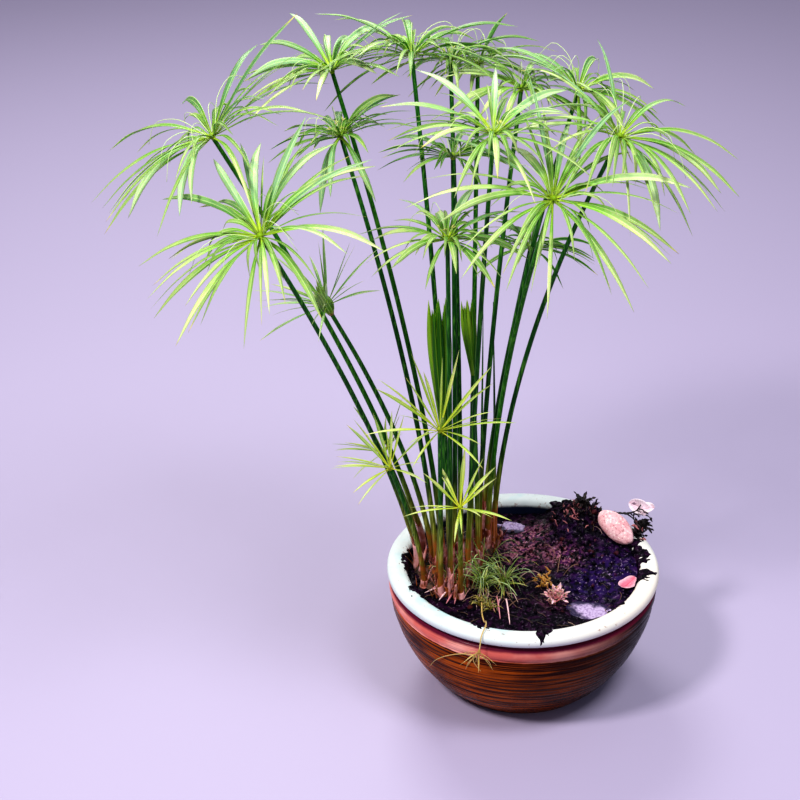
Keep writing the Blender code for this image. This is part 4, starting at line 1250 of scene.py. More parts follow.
def grow_umbrella(number):
    """One umbrella: its bracts, the slim and the broad ones between them, and what its hub carries."""
    node = f"umbrella_{number:02d}"
    chance = random.Random(node)
    young = number >= FIRST_YOUNG
    path = stem_paths[f"stem_{number:02d}"]
    axis = unit(path[-1] - path[-2])
    leaves = bracts(node)
    centre = np.mean([line[0] for line, _, _ in leaves], axis=0)
    side, other = crossways(axis, (1.0, 0.2, 0.0))
    leaves.sort(key=lambda leaf: math.atan2((leaf[0][2] - centre).dot(other),
                                            (leaf[0][2] - centre).dot(side)))
    shape = Shape()
    solid_bracts(shape, number, leaves, centre, axis, chance)
    extra = slim_bracts(shape, number, leaves, centre, axis, chance)
    broad_bracts(shape, number, centre, axis, chance)
    knob(shape, centre, axis, 0.0034 if young else 0.0046, -0.0050, 0.0052, tone=0.9)
    if number in FLOWERING:
        spray(shape, centre + axis * 0.003, axis, FLOWERING[number], 0.020, chance)
    if not young:
        fan(shape, leaves, axis, LIGHT[number], chance)
    if number == CUPPED:
        cup(shape, centre, axis, chance)
    return node, shape, len(leaves), extra


for number in UMBRELLAS:
    node, shape, count, extra = grow_umbrella(number)
    slot = "young_green" if number >= FIRST_YOUNG else "bract_green"
    paint = young_green if number > CUPPED else bract_green
    print(f"{node}: {count} bracts and {extra} slim ones")
    shape.piece("bracts_" + node, paint, slot, node)

# %% [markdown]
# ## Folded umbrellas
# Two young umbrellas haven't opened yet. Their bracts still stand upright, pressed together into a
# flat wedge of pointed blades. The solid is a plain wedge. Nine blades round its axis give the slits
# and the uneven tips. Those that face the light, at the left, are a brighter green than the others.

# %% Grow the buds
# A blade's course in a bud: how far along its axis, and how far out as a share of the half width.
BUD_COURSE = ((0.0, 0.16), (0.30, 0.50), (0.62, 0.86), (0.85, 0.94), (1.0, 0.90))
# The blades: how far to the side and how deep each stands, and how tall it is.
BUD_BLADES = ((-0.74, -0.12, 0.98), (-0.28, -0.42, 0.93), (0.18, -0.46, 1.0), (0.64, -0.20, 0.96),
              (-0.50, 0.30, 0.90), (0.0, 0.42, 0.97), (0.46, 0.34, 0.88), (0.76, 0.10, 0.99),
              (-0.05, 0.0, 0.95))
# How far to the right the bright blades go in each bud.
BUDS = {"bud_21": -0.6, "bud_22": 0.5}


def grow_bud(node, bright_to):
    points, _ = welded(node)
    order = np.argsort(points[:, 2])
    start, end = points[order[:8]].mean(axis=0), points[order[-1]]
    axis = unit(end - start)
    length = float(np.linalg.norm(end - start))
    side = unit(np.array([1.0, 0.0, 0.0]) - axis * axis[0])
    depth = np.cross(axis, side)
    half = float(max(abs((points - start).dot(side))))
    chance = random.Random(node)
    shape = Shape()
    for across, deep, tall in BUD_BLADES:
        out = side * across + depth * deep
        line = [start + axis * (along * length * tall) + out * (half * wide) for along, wide in BUD_COURSE]
        face = unit(side + depth * chance.uniform(-0.35, 0.35))
        tones = (0.5, 0.9) if across < bright_to else (0.0, 0.2)
        blade(shape, line, face if deep < 0 else -face, half * 0.72, fold=0.42, root=0.5, blunt=0.62,
              thick=0.0008, stations=24, wave=0.03, dry=0.1, tone=chance.uniform(*tones))
    tube(shape, [start + axis * length * share for share in np.linspace(-0.01, 0.6, 10)],
         half * np.linspace(0.30, 0.10, 10), sides=10, along=0.3, tone=0.1)
    return shape


bud_green = leaf_finish("bud_green", (0.02, 0.16, 0.005), (0.12, 0.36, 0.010), (0.30, 0.50, 0.030),
                        (0.001, 0.060, 0.001))
for node, bright_to in BUDS.items():
    grow_bud(node, bright_to).piece("folded_" + node, bud_green, "young_green", node)

# %% [markdown]
# ## The root crown
# All the stems rise from one woody mass of rootstock. It is a low mound with a hump at each foot,
# brown and fibrous, among the stumps of old stems and the papery sheaths they left. The mound is a
# height field inside the solid's outline, and the stumps are torn sheaths of many lengths.

# %% Crown mound
PEAT, WOODY, RAW_WOOD = (0.012, 0.008, 0.008), (0.085, 0.036, 0.020), (0.26, 0.11, 0.05)
CROWN_SIDES, CROWN_ROWS, FOOT_SPREAD = 150, 44, 0.0075


def crown_finish():
    crown = Finish("root_crown", {"IOR": 1.4})
    fibre = crown.cloud(1.0, 4.0, (160.0, 160.0, 60.0))
    wide = crown.cloud(45.0, 3.0)
    colour = crown.blend(crown.step(fibre, 0.38, 0.62), PEAT, WOODY)
    colour = crown.blend(crown.step(wide, 0.52, 0.70) * crown.step(fibre, 0.5, 0.65), colour, RAW_WOOD)
    return crown.wear(colour, 0.75 - wide * 0.3, fibre, 0.8, 0.002)


crown_points, _ = welded("root_crown")
crown_top = crown_points[crown_points[:, 2] > crown_points[:, 2].max() - 0.002]
crown_middle = crown_top.mean(axis=0)
crown_order = np.argsort(np.arctan2(*(crown_top - crown_middle)[:, 1::-1].T))
crown_edge = crown_top[crown_order]
feet = np.array([path[0] for path in stem_paths.values()])


def crown_height(spot, share):
    """A mound that falls to the mud at its edge and swells round each foot."""
    near = np.exp(-((feet[:, :2] - spot[:2]) ** 2).sum(axis=1) / (2.0 * FOOT_SPREAD ** 2)).sum()
    rough = noise.fractal(Vector(spot) * 75.0, 0.9, 2.0, 3) * 0.0035
    top = crown_middle[2] - 0.004 + 0.007 * min(1.0, near) + rough
    edge = float(ease((1.0 - share) / 0.16))
    return top * edge + (smooth_mud(spot[0], spot[1]) - 0.004) * (1.0 - edge)


def crown_mound():
    """Rows of the mound from its middle to its edge, closed by a flat underside."""
    turn = np.linspace(0.0, 1.0, CROWN_SIDES, endpoint=False) * len(crown_edge)
    ring = np.vstack([crown_edge, crown_edge[:1]])
    edge = np.stack([np.interp(turn, np.arange(len(ring)), ring[:, axis]) for axis in range(3)], axis=1)
    rows = []
    for share in np.linspace(0.02, 1.0, CROWN_ROWS):
        row = crown_middle + (edge - crown_middle) * share * 1.03
        row[:, 2] = [crown_height(spot, share) for spot in row]
        rows.append(row)
    bottom = rows[-1].copy()
    bottom[:, 2] = crown_points[:, 2].min()
    shape = Shape()
    shape.rings(np.array(rows + [bottom]))
    return shape


crown = crown_finish()
crown_mound().piece("rootstock", crown, "root_crown", "root_crown")

# %% Stumps and papery sheaths
# Where stumps stand along the crown's edges, in millimetres; more of them stand round the feet.
STUMPS = ((-159, 3), (-151, -12), (-143, -23), (-137, -34), (-131, -45), (-124, -58), (-118, -66),
          (-112, -70), (-104, -76), (-97, -70), (-92, -78), (-84, -66), (-110, -52), (-98, -56),
          (-128, -30), (-138, -14), (-79, -48), (-72, -40), (-90, -44), (-64, 18), (-58, 30),
          (-70, -6), (-76, -22), (-84, -12))
STUMPS_AT_FEET, FIBRES, STUMP_REACH = 26, 150, 0.163


def near_foot(chance, away=None):
    """A place beside one of the stems' feet, at a given distance or at a chance one."""
    foot = feet[chance.randrange(len(feet))]
    turn = chance.uniform(0, math.tau)
    away = away or chance.uniform(0.003, 0.013)
    return foot[0] + away * math.cos(turn), foot[1] + away * math.sin(turn)


def grow_stumps():
    """Torn sheaths without a stem, and loose fibres between them."""
    chance = random.Random("stumps")
    shape = Shape()
    ground = crown_middle[2] - 0.006
    spots = [(x * MM, y * MM) for x, y in STUMPS]
    spots += [near_foot(chance, 0.009) for _ in range(STUMPS_AT_FEET)]
    for x, y in spots:
        if math.hypot(x, y) > STUMP_REACH:
            continue
        tall = chance.uniform(0.008, 0.022) + 0.040 * chance.random() ** 3.0
        base = np.array([x, y, ground])
        lean = np.array([chance.uniform(-0.25, 0.25), chance.uniform(-0.25, 0.25), 1.0])
        line = [base, base + lean * tall * 0.5, base + lean * tall + (chance.uniform(-0.004, 0.004), 0, 0)]
        wide = chance.uniform(0.0013, 0.0034)
        torn_sheath(shape, line, (wide, wide * chance.uniform(0.4, 1.0)), chance.uniform(0.3, 0.8), chance,
                    tone=chance.random(), across=chance.uniform(0.0, 0.6) ** 2)
    for _ in range(FIBRES):
        base = np.array([*near_foot(chance), ground])
        lean = np.array([chance.uniform(-0.5, 0.5), chance.uniform(-0.5, 0.5), 1.0])
        tall = chance.uniform(0.010, 0.042)
        line = [base, base + lean * tall * 0.5, base + lean * tall * (1.0, 1.0, 0.9)]
        thread(shape, line, 8, chance.uniform(0.0004, 0.0012), 0.0002, 5, along=0.1, tone=chance.random(),
               dry=1.0 if chance.random() < 0.7 else 0.2, across=chance.uniform(0.0, 0.6) ** 2)
    return shape


grow_stumps().piece("old_sheaths", stem_green, "root_crown")

# %% [markdown]
# ## Roots and loose litter
# Thin roots creep over the mud, some buried here and there, and dry stalks arch over it. Each root
# wanders by a few degrees at every step and takes its height from the mud, so that it always lies on
# it.

# %% Roots
ROOTS, ROOT_FIELD, ROOT_REACH = 90, 0.165, 0.166
# Dry stalks: where each starts and ends and how high it bows, in millimetres, and its tone.
STALKS = (((-8, -26), (34, -12), 17, 0.85), ((4, -30), (30, -44), 12, 0.4), ((-45, 20), (-22, -16), 16, 0.7),
          ((-66, 12), (-30, -6), 26, 0.6), ((52, 2), (58, 44), 10, 0.65), ((30, 66), (52, 28), 14, 0.45),
          ((-20, -92), (14, -70), 9, 0.3), ((84, 20), (60, -4), 8, 0.5), ((-40, -20), (-16, -52), 20, 0.35))


def litter_finish(name, dark, mid, light):
    """A rough finish for what is dead, in three colours that the mark tone chooses from."""
    litter = Finish(name, {"IOR": 1.4})
    tone = litter.mark("tone")
    grain = litter.cloud(260.0, 3.0)
    colour = litter.blend(litter.step(tone, 0.0, 0.55), dark, mid)
    colour = litter.blend(litter.step(tone, 0.60, 1.0), colour, light)
    colour = litter.blend(litter.step(grain, 0.52, 0.70) * 0.5, colour, dark)
    return litter.wear(colour, 0.75 - grain * 0.3, grain, 0.4, 0.0006)


def creep(shape, x, y, heading, length, wide, chance, lift=0.0002, **marks):
    """A root over the mud, from a spot and in a heading, wandering as it goes."""
    steps = max(6, int(length / 0.004))
    line = []
    for i in range(steps):
        height = mud_height(x, y) + lift + 0.0012 * math.sin(i * 0.9 + wide * 9000.0)
        line.append((x, y, height))
        heading += chance.uniform(-0.35, 0.35)
        x += math.cos(heading) * length / steps
        y += math.sin(heading) * length / steps
        if math.hypot(x, y) > ROOT_REACH:
            break
    if len(line) > 4:
        thread(shape, line, len(line) * 2, wide, wide * 0.45, 6, **marks)


def arch(shape, start, end, rise, wide, **marks):
    """A dry stalk that bows over the mud from one spot to another, both in millimetres."""
    first, last = on_mud(*start, -0.001), on_mud(*end, -0.001)
    line = [first + (last - first) * t + UPWARDS * (rise * MM * math.sin(math.pi * t) ** 0.8)
            for t in np.linspace(0.0, 1.0, 6)]
    thread(shape, line, 20, wide, wide * 0.5, 6, **marks)


root_brown = litter_finish("thin_roots", (0.035, 0.018, 0.014), (0.20, 0.10, 0.06), (0.55, 0.38, 0.34))
roots = Shape()
chance = random.Random("roots")
for _ in range(ROOTS):
    turn = chance.uniform(0, math.tau)
    far = ROOT_FIELD * math.sqrt(chance.random())
    creep(roots, far * math.cos(turn), far * math.sin(turn), chance.uniform(0, math.tau),
          chance.uniform(0.015, 0.06), chance.uniform(0.00025, 0.0007), chance, tone=chance.random() ** 1.6)
for start, end, rise, tone in STALKS:
    arch(roots, start, end, rise, 0.0008, tone=tone)
roots.piece("roots_on_mud", root_brown, "litter")

# %% [markdown]
# ## Seedlings
# Two small sedges have sprouted in front of the crown. They are stars of short bright blades on a
# knot of yellow-brown roots, and their pale roots run over the mud to the front of the bowl.

# %% Small whorls


def grow_star(node, width, axis, thick=0.0005, slim=0, light=0.8, wave=0.1):
    """Regrows a small whorl of the solids as finer blades, with some slim ones between them."""
    chance = random.Random(node)
    leaves = bracts(node)
    centre = np.mean([line[0] for line, _, _ in leaves], axis=0)
    shape = Shape()
    for i, (first, across, _) in enumerate(leaves):
        line = from_hub(first, centre)
        blade(shape, line, facing(line, across, axis), width * chance.uniform(0.7, 1.1), thick=thick,
              stations=14, twist=chance.uniform(-0.8, 0.8), wave=wave,
              tone=min(1.0, light + chance.uniform(-0.3, 0.2)), dry=chance.random())
        if i < slim:
            line = between(first, leaves[(i + 3) % len(leaves)][0], chance.uniform(0.5, 0.9))
            blade(shape, line, facing(line, across, axis), width * 0.7, thick=thick, stations=12,
                  twist=chance.uniform(-0.8, 0.8), wave=wave, tone=light * 0.7, dry=chance.random())
    return shape, centre, chance


def tussock(shape, centre, count, reach, chance):
    """Thin leaves that rise from one spot and arch over to all sides."""
    for _ in range(count):
        turn = chance.uniform(0, math.tau)
        out = np.array([math.cos(turn), math.sin(turn), 0.0])
        far = reach * chance.uniform(0.4, 1.0)
        tall = far * chance.uniform(0.3, 0.9)
        line = [centre + out * far * share + UPWARDS * tall * rise for share, rise in
                ((0.0, 0.0), (0.28, 0.75), (0.65, 1.0), (1.0, 0.60))]
        blade(shape, line, np.cross(out, UPWARDS), chance.uniform(0.0011, 0.0024), thick=0.0004, stations=12,
              wave=0.3, twist=chance.uniform(-1.0, 1.0), tone=chance.uniform(0.1, 0.9),
              dry=chance.random() * 2.0, cool=chance.random() ** 2)


print("seedling_1 has", len(bracts("seedling_1")), "leaves in its solid")

# %% Grow the seedlings
PALE_ROOTS = 9
seedling_green = leaf_finish("seedling_green", (0.58, 0.66, 0.020), (0.32, 0.44, 0.030), (0.64, 0.68, 0.28),
                             (0.014, 0.055, 0.006))
for node in ("seedling_1", "seedling_2"):
    shape, centre, chance = grow_star(node, 0.0034, UPWARDS, slim=6)
    for count, reach in ((22, 0.044), (18, 0.066)):
        tussock(shape, centre - UPWARDS * 0.003, count, reach, chance)
    knob(shape, centre, UPWARDS, 0.0026, -0.006, 0.003, tone=0.8)
    shape.piece("young_" + node, seedling_green, "bract_green", node)
    pale = Shape()
    for _ in range(PALE_ROOTS):
        creep(pale, centre[0] + chance.uniform(-0.004, 0.004), centre[1] - 0.003,
              -math.pi / 2 + chance.uniform(-0.5, 0.5), chance.uniform(0.025, 0.065),
              chance.uniform(0.0004, 0.0009), chance, lift=0.0012, tone=chance.uniform(0.45, 1.0))
    pale.piece("roots_of_" + node, root_brown, "litter")

# %% [markdown]
# ## Growth at the front
# Between the crown and the lip the mud is full of small growth: thick pink shoots that creep out at
# the left, pinkish stalks that lie towards the front, an ochre tuft of dying leaves, and thin grass
# that leans between the stems' feet, with a few pale stalks that arch through it. Shoots and stalks
# are tubes that take their height from the mud.

# %% Pink shoots
# Where each starts and ends, how high it bows and how thick it is, in millimetres.
SHOOTS = (((-98, -50), (-141, -68), 5, 1.7), ((-100, -54), (-132, -62), 9, 2.1),
          ((-98, -58), (-119, -84), 6, 1.9), ((-94, -60), (-108, -92), 4, 1.8),
          ((-104, -48), (-136, -46), 8, 1.6), ((-92, -62), (-96, -92), 5, 1.5),
          ((-36, -66), (-29, -126), 5, 1.3), ((-22, -73), (-15, -134), 4, 1.3),
          ((-42, -80), (-38, -106), 3, 1.5), ((-30, -74), (-34, -100), 7, 1.1))


def shoot(shape, start, end, rise, wide, **marks):
    """A thick shoot between two spots in millimetres, blunt at its end."""
    first, last = on_mud(*start, wide), on_mud(*end, wide)
    line = [first + (last - first) * t + UPWARDS * (rise * MM * math.sin(math.pi * t ** 0.8))
            for t in np.linspace(0.0, 1.0, 7)]
    shares = np.linspace(0.0, 1.0, 22)
    taper = (1.0 - 0.35 * shares) * np.sqrt(np.clip(1.02 - shares ** 6, 0.03, 1.0))
    tube(shape, flowing(line, 22), wide * taper, sides=9, ribs=0.06, **marks)


pink_shoot = litter_finish("pink_shoot", (0.26, 0.045, 0.065), (0.56, 0.20, 0.24), (0.82, 0.56, 0.60))
front = Shape()
for start, end, rise, wide in SHOOTS:
    shoot(front, start, end, rise, wide * MM, tone=random.Random(str(end)).uniform(0.45, 1.0))
front.piece("pink_shoots", pink_shoot, "litter")

# %% Ochre tuft and grass
OCHRE_SPOTS = ((-56, -80), (-50, -90), (-44, -100), (-60, -90), (-47, -84))
# Grass: where it grows, how many leaves it has, and how far they reach in metres.
GRASS_SPOTS = ((-86, -46, 12, 0.060), (-66, -34, 12, 0.056), (-58, -8, 10, 0.060), (-104, -40, 8, 0.050),
               (-48, 22, 9, 0.050))
PALE_STALKS = (((-80, -34), (-60, 22), 26), ((-70, 4), (-34, -16), 15), ((-58, -34), (-26, -58), 24),
               ((-50, -44), (-6, -62), 17), ((-62, -48), (-40, -16), 30))
ochre_leaf = leaf_finish("ochre_leaf", (0.34, 0.20, 0.016), (0.30, 0.26, 0.022), (0.54, 0.42, 0.12),
                         (0.07, 0.045, 0.008))
ochre = Shape()
chance = random.Random("ochre tuft")
for x, y in OCHRE_SPOTS:
    tussock(ochre, on_mud(x, y), 11, 0.020, chance)
ochre.piece("ochre_tuft", ochre_leaf, "litter")

grass = Shape()
for x, y, count, reach in GRASS_SPOTS:
    tussock(grass, on_mud(x, y), count, reach, chance)
for start, end, rise in PALE_STALKS:
    arch(grass, start, end, rise, 0.0011, along=0.9, tone=0.9, cool=0.9)
grass.piece("grass_at_feet", seedling_green, "bract_green")

# %% [markdown]
# ## The runner and its plantlet
# A yellow runner leaves the first seedling, climbs over the front lip, and carries a tiny plant that
# hangs against the band. Both follow their solids. The runner's start is the ring that lies nearest to
# the bowl's axis.

# %% Runner


def nearest_axis(points):
    """Ranks points by their distance from the bowl's axis."""
    return np.hypot(points[:, 0], points[:, 1])


runner_yellow = leaf_finish("runner_yellow", (0.46, 0.32, 0.10), (0.52, 0.32, 0.09), (0.66, 0.50, 0.24),
                            (0.24, 0.12, 0.03))
runner_line, _ = rod("runner", nearest_axis)
runner = Shape()
runner_path = thread(runner, runner_line, 60, 0.0011, 0.0009, 10, tone=0.6, dry=0.3)
for share in (0.25, 0.5, 0.72):
    joint = along_path(runner_path, np.linspace(share, share + 0.03, 6))
    tube(runner, joint, (0.0008, 0.0014, 0.0016, 0.0015, 0.0012, 0.0008), sides=10, tone=0.3, dry=0.6)
runner.piece("yellow_runner", runner_yellow, "stem_green", "runner")

# %% Plantlet
# Its tendrils lie on the glaze: distances along the bowl's profile in millimetres, and angles.
TENDRILS = (((292, -109), (287, -114), (276, -120), (256, -127), (224, -135)),
            ((290, -109), (278, -109), (262, -106)), ((290, -108), (276, -111), (258, -113)),
            ((292, -106), (284, -103), (270, -101)))
hanging = unit(runner_line[-1] - runner_line[-2])
plantlet, centre, chance = grow_star("plantlet", 0.0026, hanging, slim=3)
knob(plantlet, centre, hanging, 0.0022, -0.004, 0.003, tone=0.6)
for course in TENDRILS:
    spots = [lip_point(far, math.radians(angle)) for far, angle in course]
    line = [spot + face * 0.0022 for spot, face in spots]
    thread(plantlet, line, 24, 0.0009, 0.0003, 7, along=0.5, tone=0.6)
plantlet.piece("hanging_plantlet", runner_yellow, "young_green", "plantlet")

# %% [markdown]
# ## The pebble
# A flat pink pebble leans on the heap. An ellipsoid is too perfect: a river stone has a
# slightly flattened face, a soft edge and shallow dents. We take its middle and its three axes from
# the solid, push the points in and out with slow noise, and speckle it with brown and white grains.

# %% Pebble
SHELL, BLUSH, FRECKLE, QUARTZ = (0.64, 0.30, 0.34), (0.77, 0.48, 0.53), (0.36, 0.08, 0.10), (0.90, 0.80, 0.74)
STONE_SIDES, STONE_ROWS, POLE = 64, 40, 0.06


def stone_finish():
    stone = Finish("pink_stone", {"IOR": 1.5})
    grains, blotches, specks = stone.cloud(700.0, 2.0), stone.cloud(90.0, 4.0), stone.cloud(330.0, 4.0)
    colour = stone.blend(stone.step(blotches, 0.35, 0.68), SHELL, BLUSH)
    colour = stone.blend(stone.step(specks, 0.57, 0.66) * 0.75, colour, FRECKLE)
    colour = stone.blend(stone.step(1 - specks, 0.58, 0.68) * 0.8, colour, QUARTZ)
    return stone.wear(colour, 0.72 - blotches * 0.2, grains, 0.35, 0.0006)


def main_axes(points):
    """The middle of a solid, its three main directions, longest first, and its half sizes."""
    centre = (points.max(axis=0) + points.min(axis=0)) / 2.0
    _, _, axes = np.linalg.svd(points - centre, full_matrices=False)
    return centre, axes, np.abs((points - centre) @ axes.T).max(axis=0)


# Which way the stone's outline is long and short, as the photograph shows it from above, and by what
# shares it is stretched and pressed in those directions.
STONE_LONG, STONE_SHORT = np.array([0.764, -0.267, -0.587]), np.array([0.642, 0.404, 0.652])
STRETCHED, PRESSED = 0.20, 0.13
stone_centre, stone_axes, stone_half = main_axes(welded("pebble")[0])
turn = round_turn(STONE_SIDES)
stone_rows = []
for lean in np.linspace(POLE, math.pi - POLE, STONE_ROWS):
    ball = np.stack([math.sin(lean) * np.cos(turn), math.sin(lean) * np.sin(turn),
                     np.full(STONE_SIDES, math.cos(lean))], axis=1)
    ball[:, 2] = np.sign(ball[:, 2]) * np.abs(ball[:, 2]) ** 0.85
    dents = np.array([1.0 + 0.045 * noise.fractal(Vector(spot) * 1.6, 1.0, 2.0, 3) for spot in ball])
    row = (ball * dents[:, None] * stone_half * (1.06, 1.04, 1.0)) @ stone_axes
    row = (row + np.outer(row @ STONE_LONG, STONE_LONG) * STRETCHED
           - np.outer(row @ STONE_SHORT, STONE_SHORT) * PRESSED)
    stone_rows.append(stone_centre + row)
pebble = Shape()
flipped = np.linalg.det(stone_axes) > 0
pebble.rings(np.array(stone_rows[::-1] if flipped else stone_rows))
pebble.piece("pink_pebble", stone_finish(), "stone", "pebble")

# %% [markdown]
# ## A fallen leaf
# A pink leaf has dropped on the mud near the right of the lip. It is a thin slab, curled up at the
# tips, with a midrib pressed into it. Its length, its direction and its place come from the solid.

# %% Leaf with veins


def petal_finish(name, edge, middle, vein):
    petal = Finish(name, {"IOR": 1.4})
    outwards, along = petal.mark("across").size(), petal.mark("along")
    clouds = petal.cloud(180.0, 3.0)
    colour = petal.blend(petal.step(outwards + (clouds - 0.5) * 0.6, 0.35, 0.95), middle, edge)
    rib = 1 - petal.step(outwards, 0.02, 0.12)
    side_veins = petal.step((along + outwards * 0.18).ripple(9.0), 0.80, 1.0)
    colour = petal.blend(rib * 0.8 + side_veins * 0.35 * (1 - rib), colour, vein)
    return petal.wear(colour, clouds * 0.3 + 0.35, side_veins + rib, 0.3, 0.0005)


LEAF_ROWS = 22
LEAF_ACROSS = np.linspace(-1.0, 1.0, 11)


def loose_leaf(shape, centre, way, up, length, width, curl, thick=0.0006, cup=0.12):
    """A small pointed leaf: a curved slab with a midrib."""
    side, across = unit(np.cross(up, way)), LEAF_ACROSS
    top, bottom = [], []
    for along in np.linspace(-1.0, 1.0, LEAF_ROWS):
        half = 0.5 * width * math.sqrt(max(1.0 - along * along, 0.0)) ** 1.15 + 0.0002
        midrib = 0.10 * half * np.exp(-(across / 0.12) ** 2)
        lift = curl * along * along + cup * half * across ** 2 - midrib
        lift = lift + 0.0006 * np.sin(along * 6.0 + across * 3.0)
        row = centre + way * (0.5 * length * along) + side * (half * across)[:, None] + up * lift[:, None]
        top.append(row + up * thick / 2.0)
        bottom.append(row - up * thick / 2.0)
    both = np.concatenate([across, across[::-1]])
    slab(shape, np.array(top), np.array(bottom), across=np.tile(both, LEAF_ROWS),
         along=np.repeat(np.linspace(-1.0, 1.0, LEAF_ROWS) * 0.5 + 0.5, len(both)))


print("a loose leaf has", 2 * LEAF_ROWS * len(LEAF_ACROSS), "points")

# %% Fallen leaf
SWUNG, LEAF_SHIFT = 0.30, np.array([0.002, -0.002, 0.0004])
leaf_centre, leaf_axes, leaf_half = main_axes(welded("fallen_leaf")[0])
pink_leaf = petal_finish("pink_leaf", (0.66, 0.38, 0.47), (0.54, 0.14, 0.22), (0.48, 0.05, 0.10))
fallen = Shape()
leaf_way = leaf_axes[0] * np.sign(leaf_axes[0][0])
leaf_way = np.array(Matrix.Rotation(SWUNG, 3, "Z") @ Vector(leaf_way))
leaf_long, leaf_wide = 2.3 * leaf_half[0], 3.0 * leaf_half[1]
loose_leaf(fallen, leaf_centre + LEAF_SHIFT, leaf_way, UPWARDS, leaf_long, leaf_wide, 0.0045)
fallen.piece("fallen_pink_leaf", pink_leaf, "fallen_leaf", "fallen_leaf")

# %% [markdown]
# ## Withered sprigs
# Between the seedlings and the front pool lie the remains of another plant: curled orange and pink
# leaves, brown at the base. The solid gives ten of them. Each becomes a wavy, strongly folded blade,
# and a second, smaller cluster lies a little further back.

# %% Curled leaves


def any_way(chance, low, high):
    """A direction to any side; low and high say how steeply it may rise."""
    return unit(np.array([chance.uniform(-1, 1), chance.uniform(-1, 1), chance.uniform(low, high)]))


def curled_leaf(shape, spot, steep, course, widths, thick, tones, chance, blunt=0.42):
    """A small dead leaf from a spot; course gives how far along and how high each point lies."""
    way = any_way(chance, *steep)
    line = [spot] + [spot + way * far + (0, 0, lift) for far, lift in course]
    blade(shape, line, np.cross(way, UPWARDS), chance.uniform(*widths), thick=thick, stations=12, fold=0.8,
          wave=0.6, blunt=blunt, twist=chance.uniform(-2, 2), tone=chance.uniform(*tones),
          dry=chance.random())


print("one way up:", any_way(random.Random("way"), 0.0, 1.0).round(2).tolist())

# %% Sprigs
SPRIG_LEAVES, SECOND_LEAVES = 30, 26
SPRIG_COURSE = ((0.006, 0.0), (0.011, 0.002), (0.015, -0.001))
SECOND_COURSE = ((0.005, 0.0), (0.010, 0.0), (0.014, -0.002))
withered = leaf_finish("withered_leaf", (0.56, 0.16, 0.10), (0.88, 0.36, 0.36), (0.94, 0.66, 0.70),
                       (0.34, 0.060, 0.090))
sprig, centre, chance = grow_star("withered_sprig", 0.0086, UPWARDS, thick=0.0009, slim=7, light=0.9,
                                  wave=0.5)
for _ in range(SPRIG_LEAVES):
    turn, far = chance.uniform(0, math.tau), chance.uniform(0.0, 0.012)
    spot = centre + np.array([math.cos(turn) * far, math.sin(turn) * far, 0.0])
    spot[2] = mud_height(spot[0], spot[1]) + chance.uniform(0.001, 0.010)
    curled_leaf(sprig, spot, (0.1, 0.9), SPRIG_COURSE, (0.004, 0.008), 0.0010, (0.2, 1.0), chance, 0.7)
sprig.piece("withered_leaves", withered, "withered", "withered_sprig")

orange = leaf_finish("orange_leaf", (0.50, 0.20, 0.02), (0.72, 0.34, 0.05), (0.84, 0.56, 0.22),
                     (0.20, 0.06, 0.015))
second = Shape()
chance = random.Random("second sprig")
for _ in range(SECOND_LEAVES):
    x, y = chance.gauss(0.034, 0.006), chance.gauss(-0.030, 0.010)
    spot = np.array([x, y, mud_height(x, y) + chance.uniform(0.0, 0.012)])
    curled_leaf(second, spot, (0.0, 1.0), SECOND_COURSE, (0.003, 0.006), 0.0009, (0.0, 1.0), chance)
second.piece("withered_leaves_behind", orange, "withered")

# %% [markdown]
# ## Litter on the heap
# The heap at the back right carries a tangle of dark, wet plant scraps that stands above the lip, with
# a few reddish bits in it. The blades of the solid become ragged scraps, and many short fibres are
# scattered round them on the mud.

# %% Litter
HEAP_SCRAPS, TWIG_SCRAPS = 170, 110
SCRAP_REACH, MUD_REACH, LIP_TOP = 0.180, 0.168, 0.190


def scrap(shape, spot, steep, longest, widths, thick, pink, grey, chance):
    """A ragged bit of leaf. pink is the share of pinkish ones and their tone, grey the others' most."""
    way = any_way(chance, *steep)
    reach = chance.uniform(0.006, longest)
    line = [spot, spot + way * reach * 0.4, spot + way * reach * 0.75,
            spot + way * reach - (0, 0, 0.2 * reach)]
    blade(shape, line, np.cross(way, (0.3, 0.2, 1.0)), chance.uniform(*widths), thick=thick, stations=9,
          fold=0.6, wave=0.6, twist=chance.uniform(-2.5, 2.5),
          tone=pink[1] if chance.random() < pink[0] else chance.uniform(0.0, grey))


litter_dark = litter_finish("wet_litter", (0.004, 0.003, 0.005), (0.026, 0.012, 0.014), (0.50, 0.17, 0.19))
litter, centre, chance = grow_star("litter_tuft", 0.0078, UPWARDS, thick=0.0014, slim=9, light=0.15, wave=0.9)
for _ in range(HEAP_SCRAPS):
    x, y = chance.gauss(0.096, 0.024), chance.gauss(0.118, 0.016)
    far = math.hypot(x, y)
    if far > SCRAP_REACH or (x > 0.118 and y < 0.098):
        continue
    spot = np.array([x, y, (mud_height(x, y) if far < MUD_REACH else LIP_TOP) - 0.001])
    pink = (0.62 if x < 0.084 else 0.10, 0.95)
    scrap(litter, spot, (0.05, 1.3), 0.019, (0.0012, 0.0048), 0.0011, pink, 0.5, chance)
for _ in range(TWIG_SCRAPS):
    share = chance.random()
    spot = np.array([chance.gauss(0.170 + 0.010 * share, 0.005), chance.gauss(0.080 + 0.012 * share, 0.006),
                     0.187 + 0.022 * share])
    scrap(litter, spot, (-0.2, 1.0), 0.014, (0.0030, 0.0085), 0.0012, (0.08, 0.9), 0.3, chance)
litter.piece("litter_on_heap", litter_dark, "litter", "litter_tuft")

# %% [markdown]
# ## The twig with petals
# Behind the pebble a dark twig leans out over the lip, and faded petals, thin and pale, cling to its
# end. The twig follows its solid with knots and short side branches; each petal is a cupped slab.

# %% Twig
TWIG_STATIONS = 40
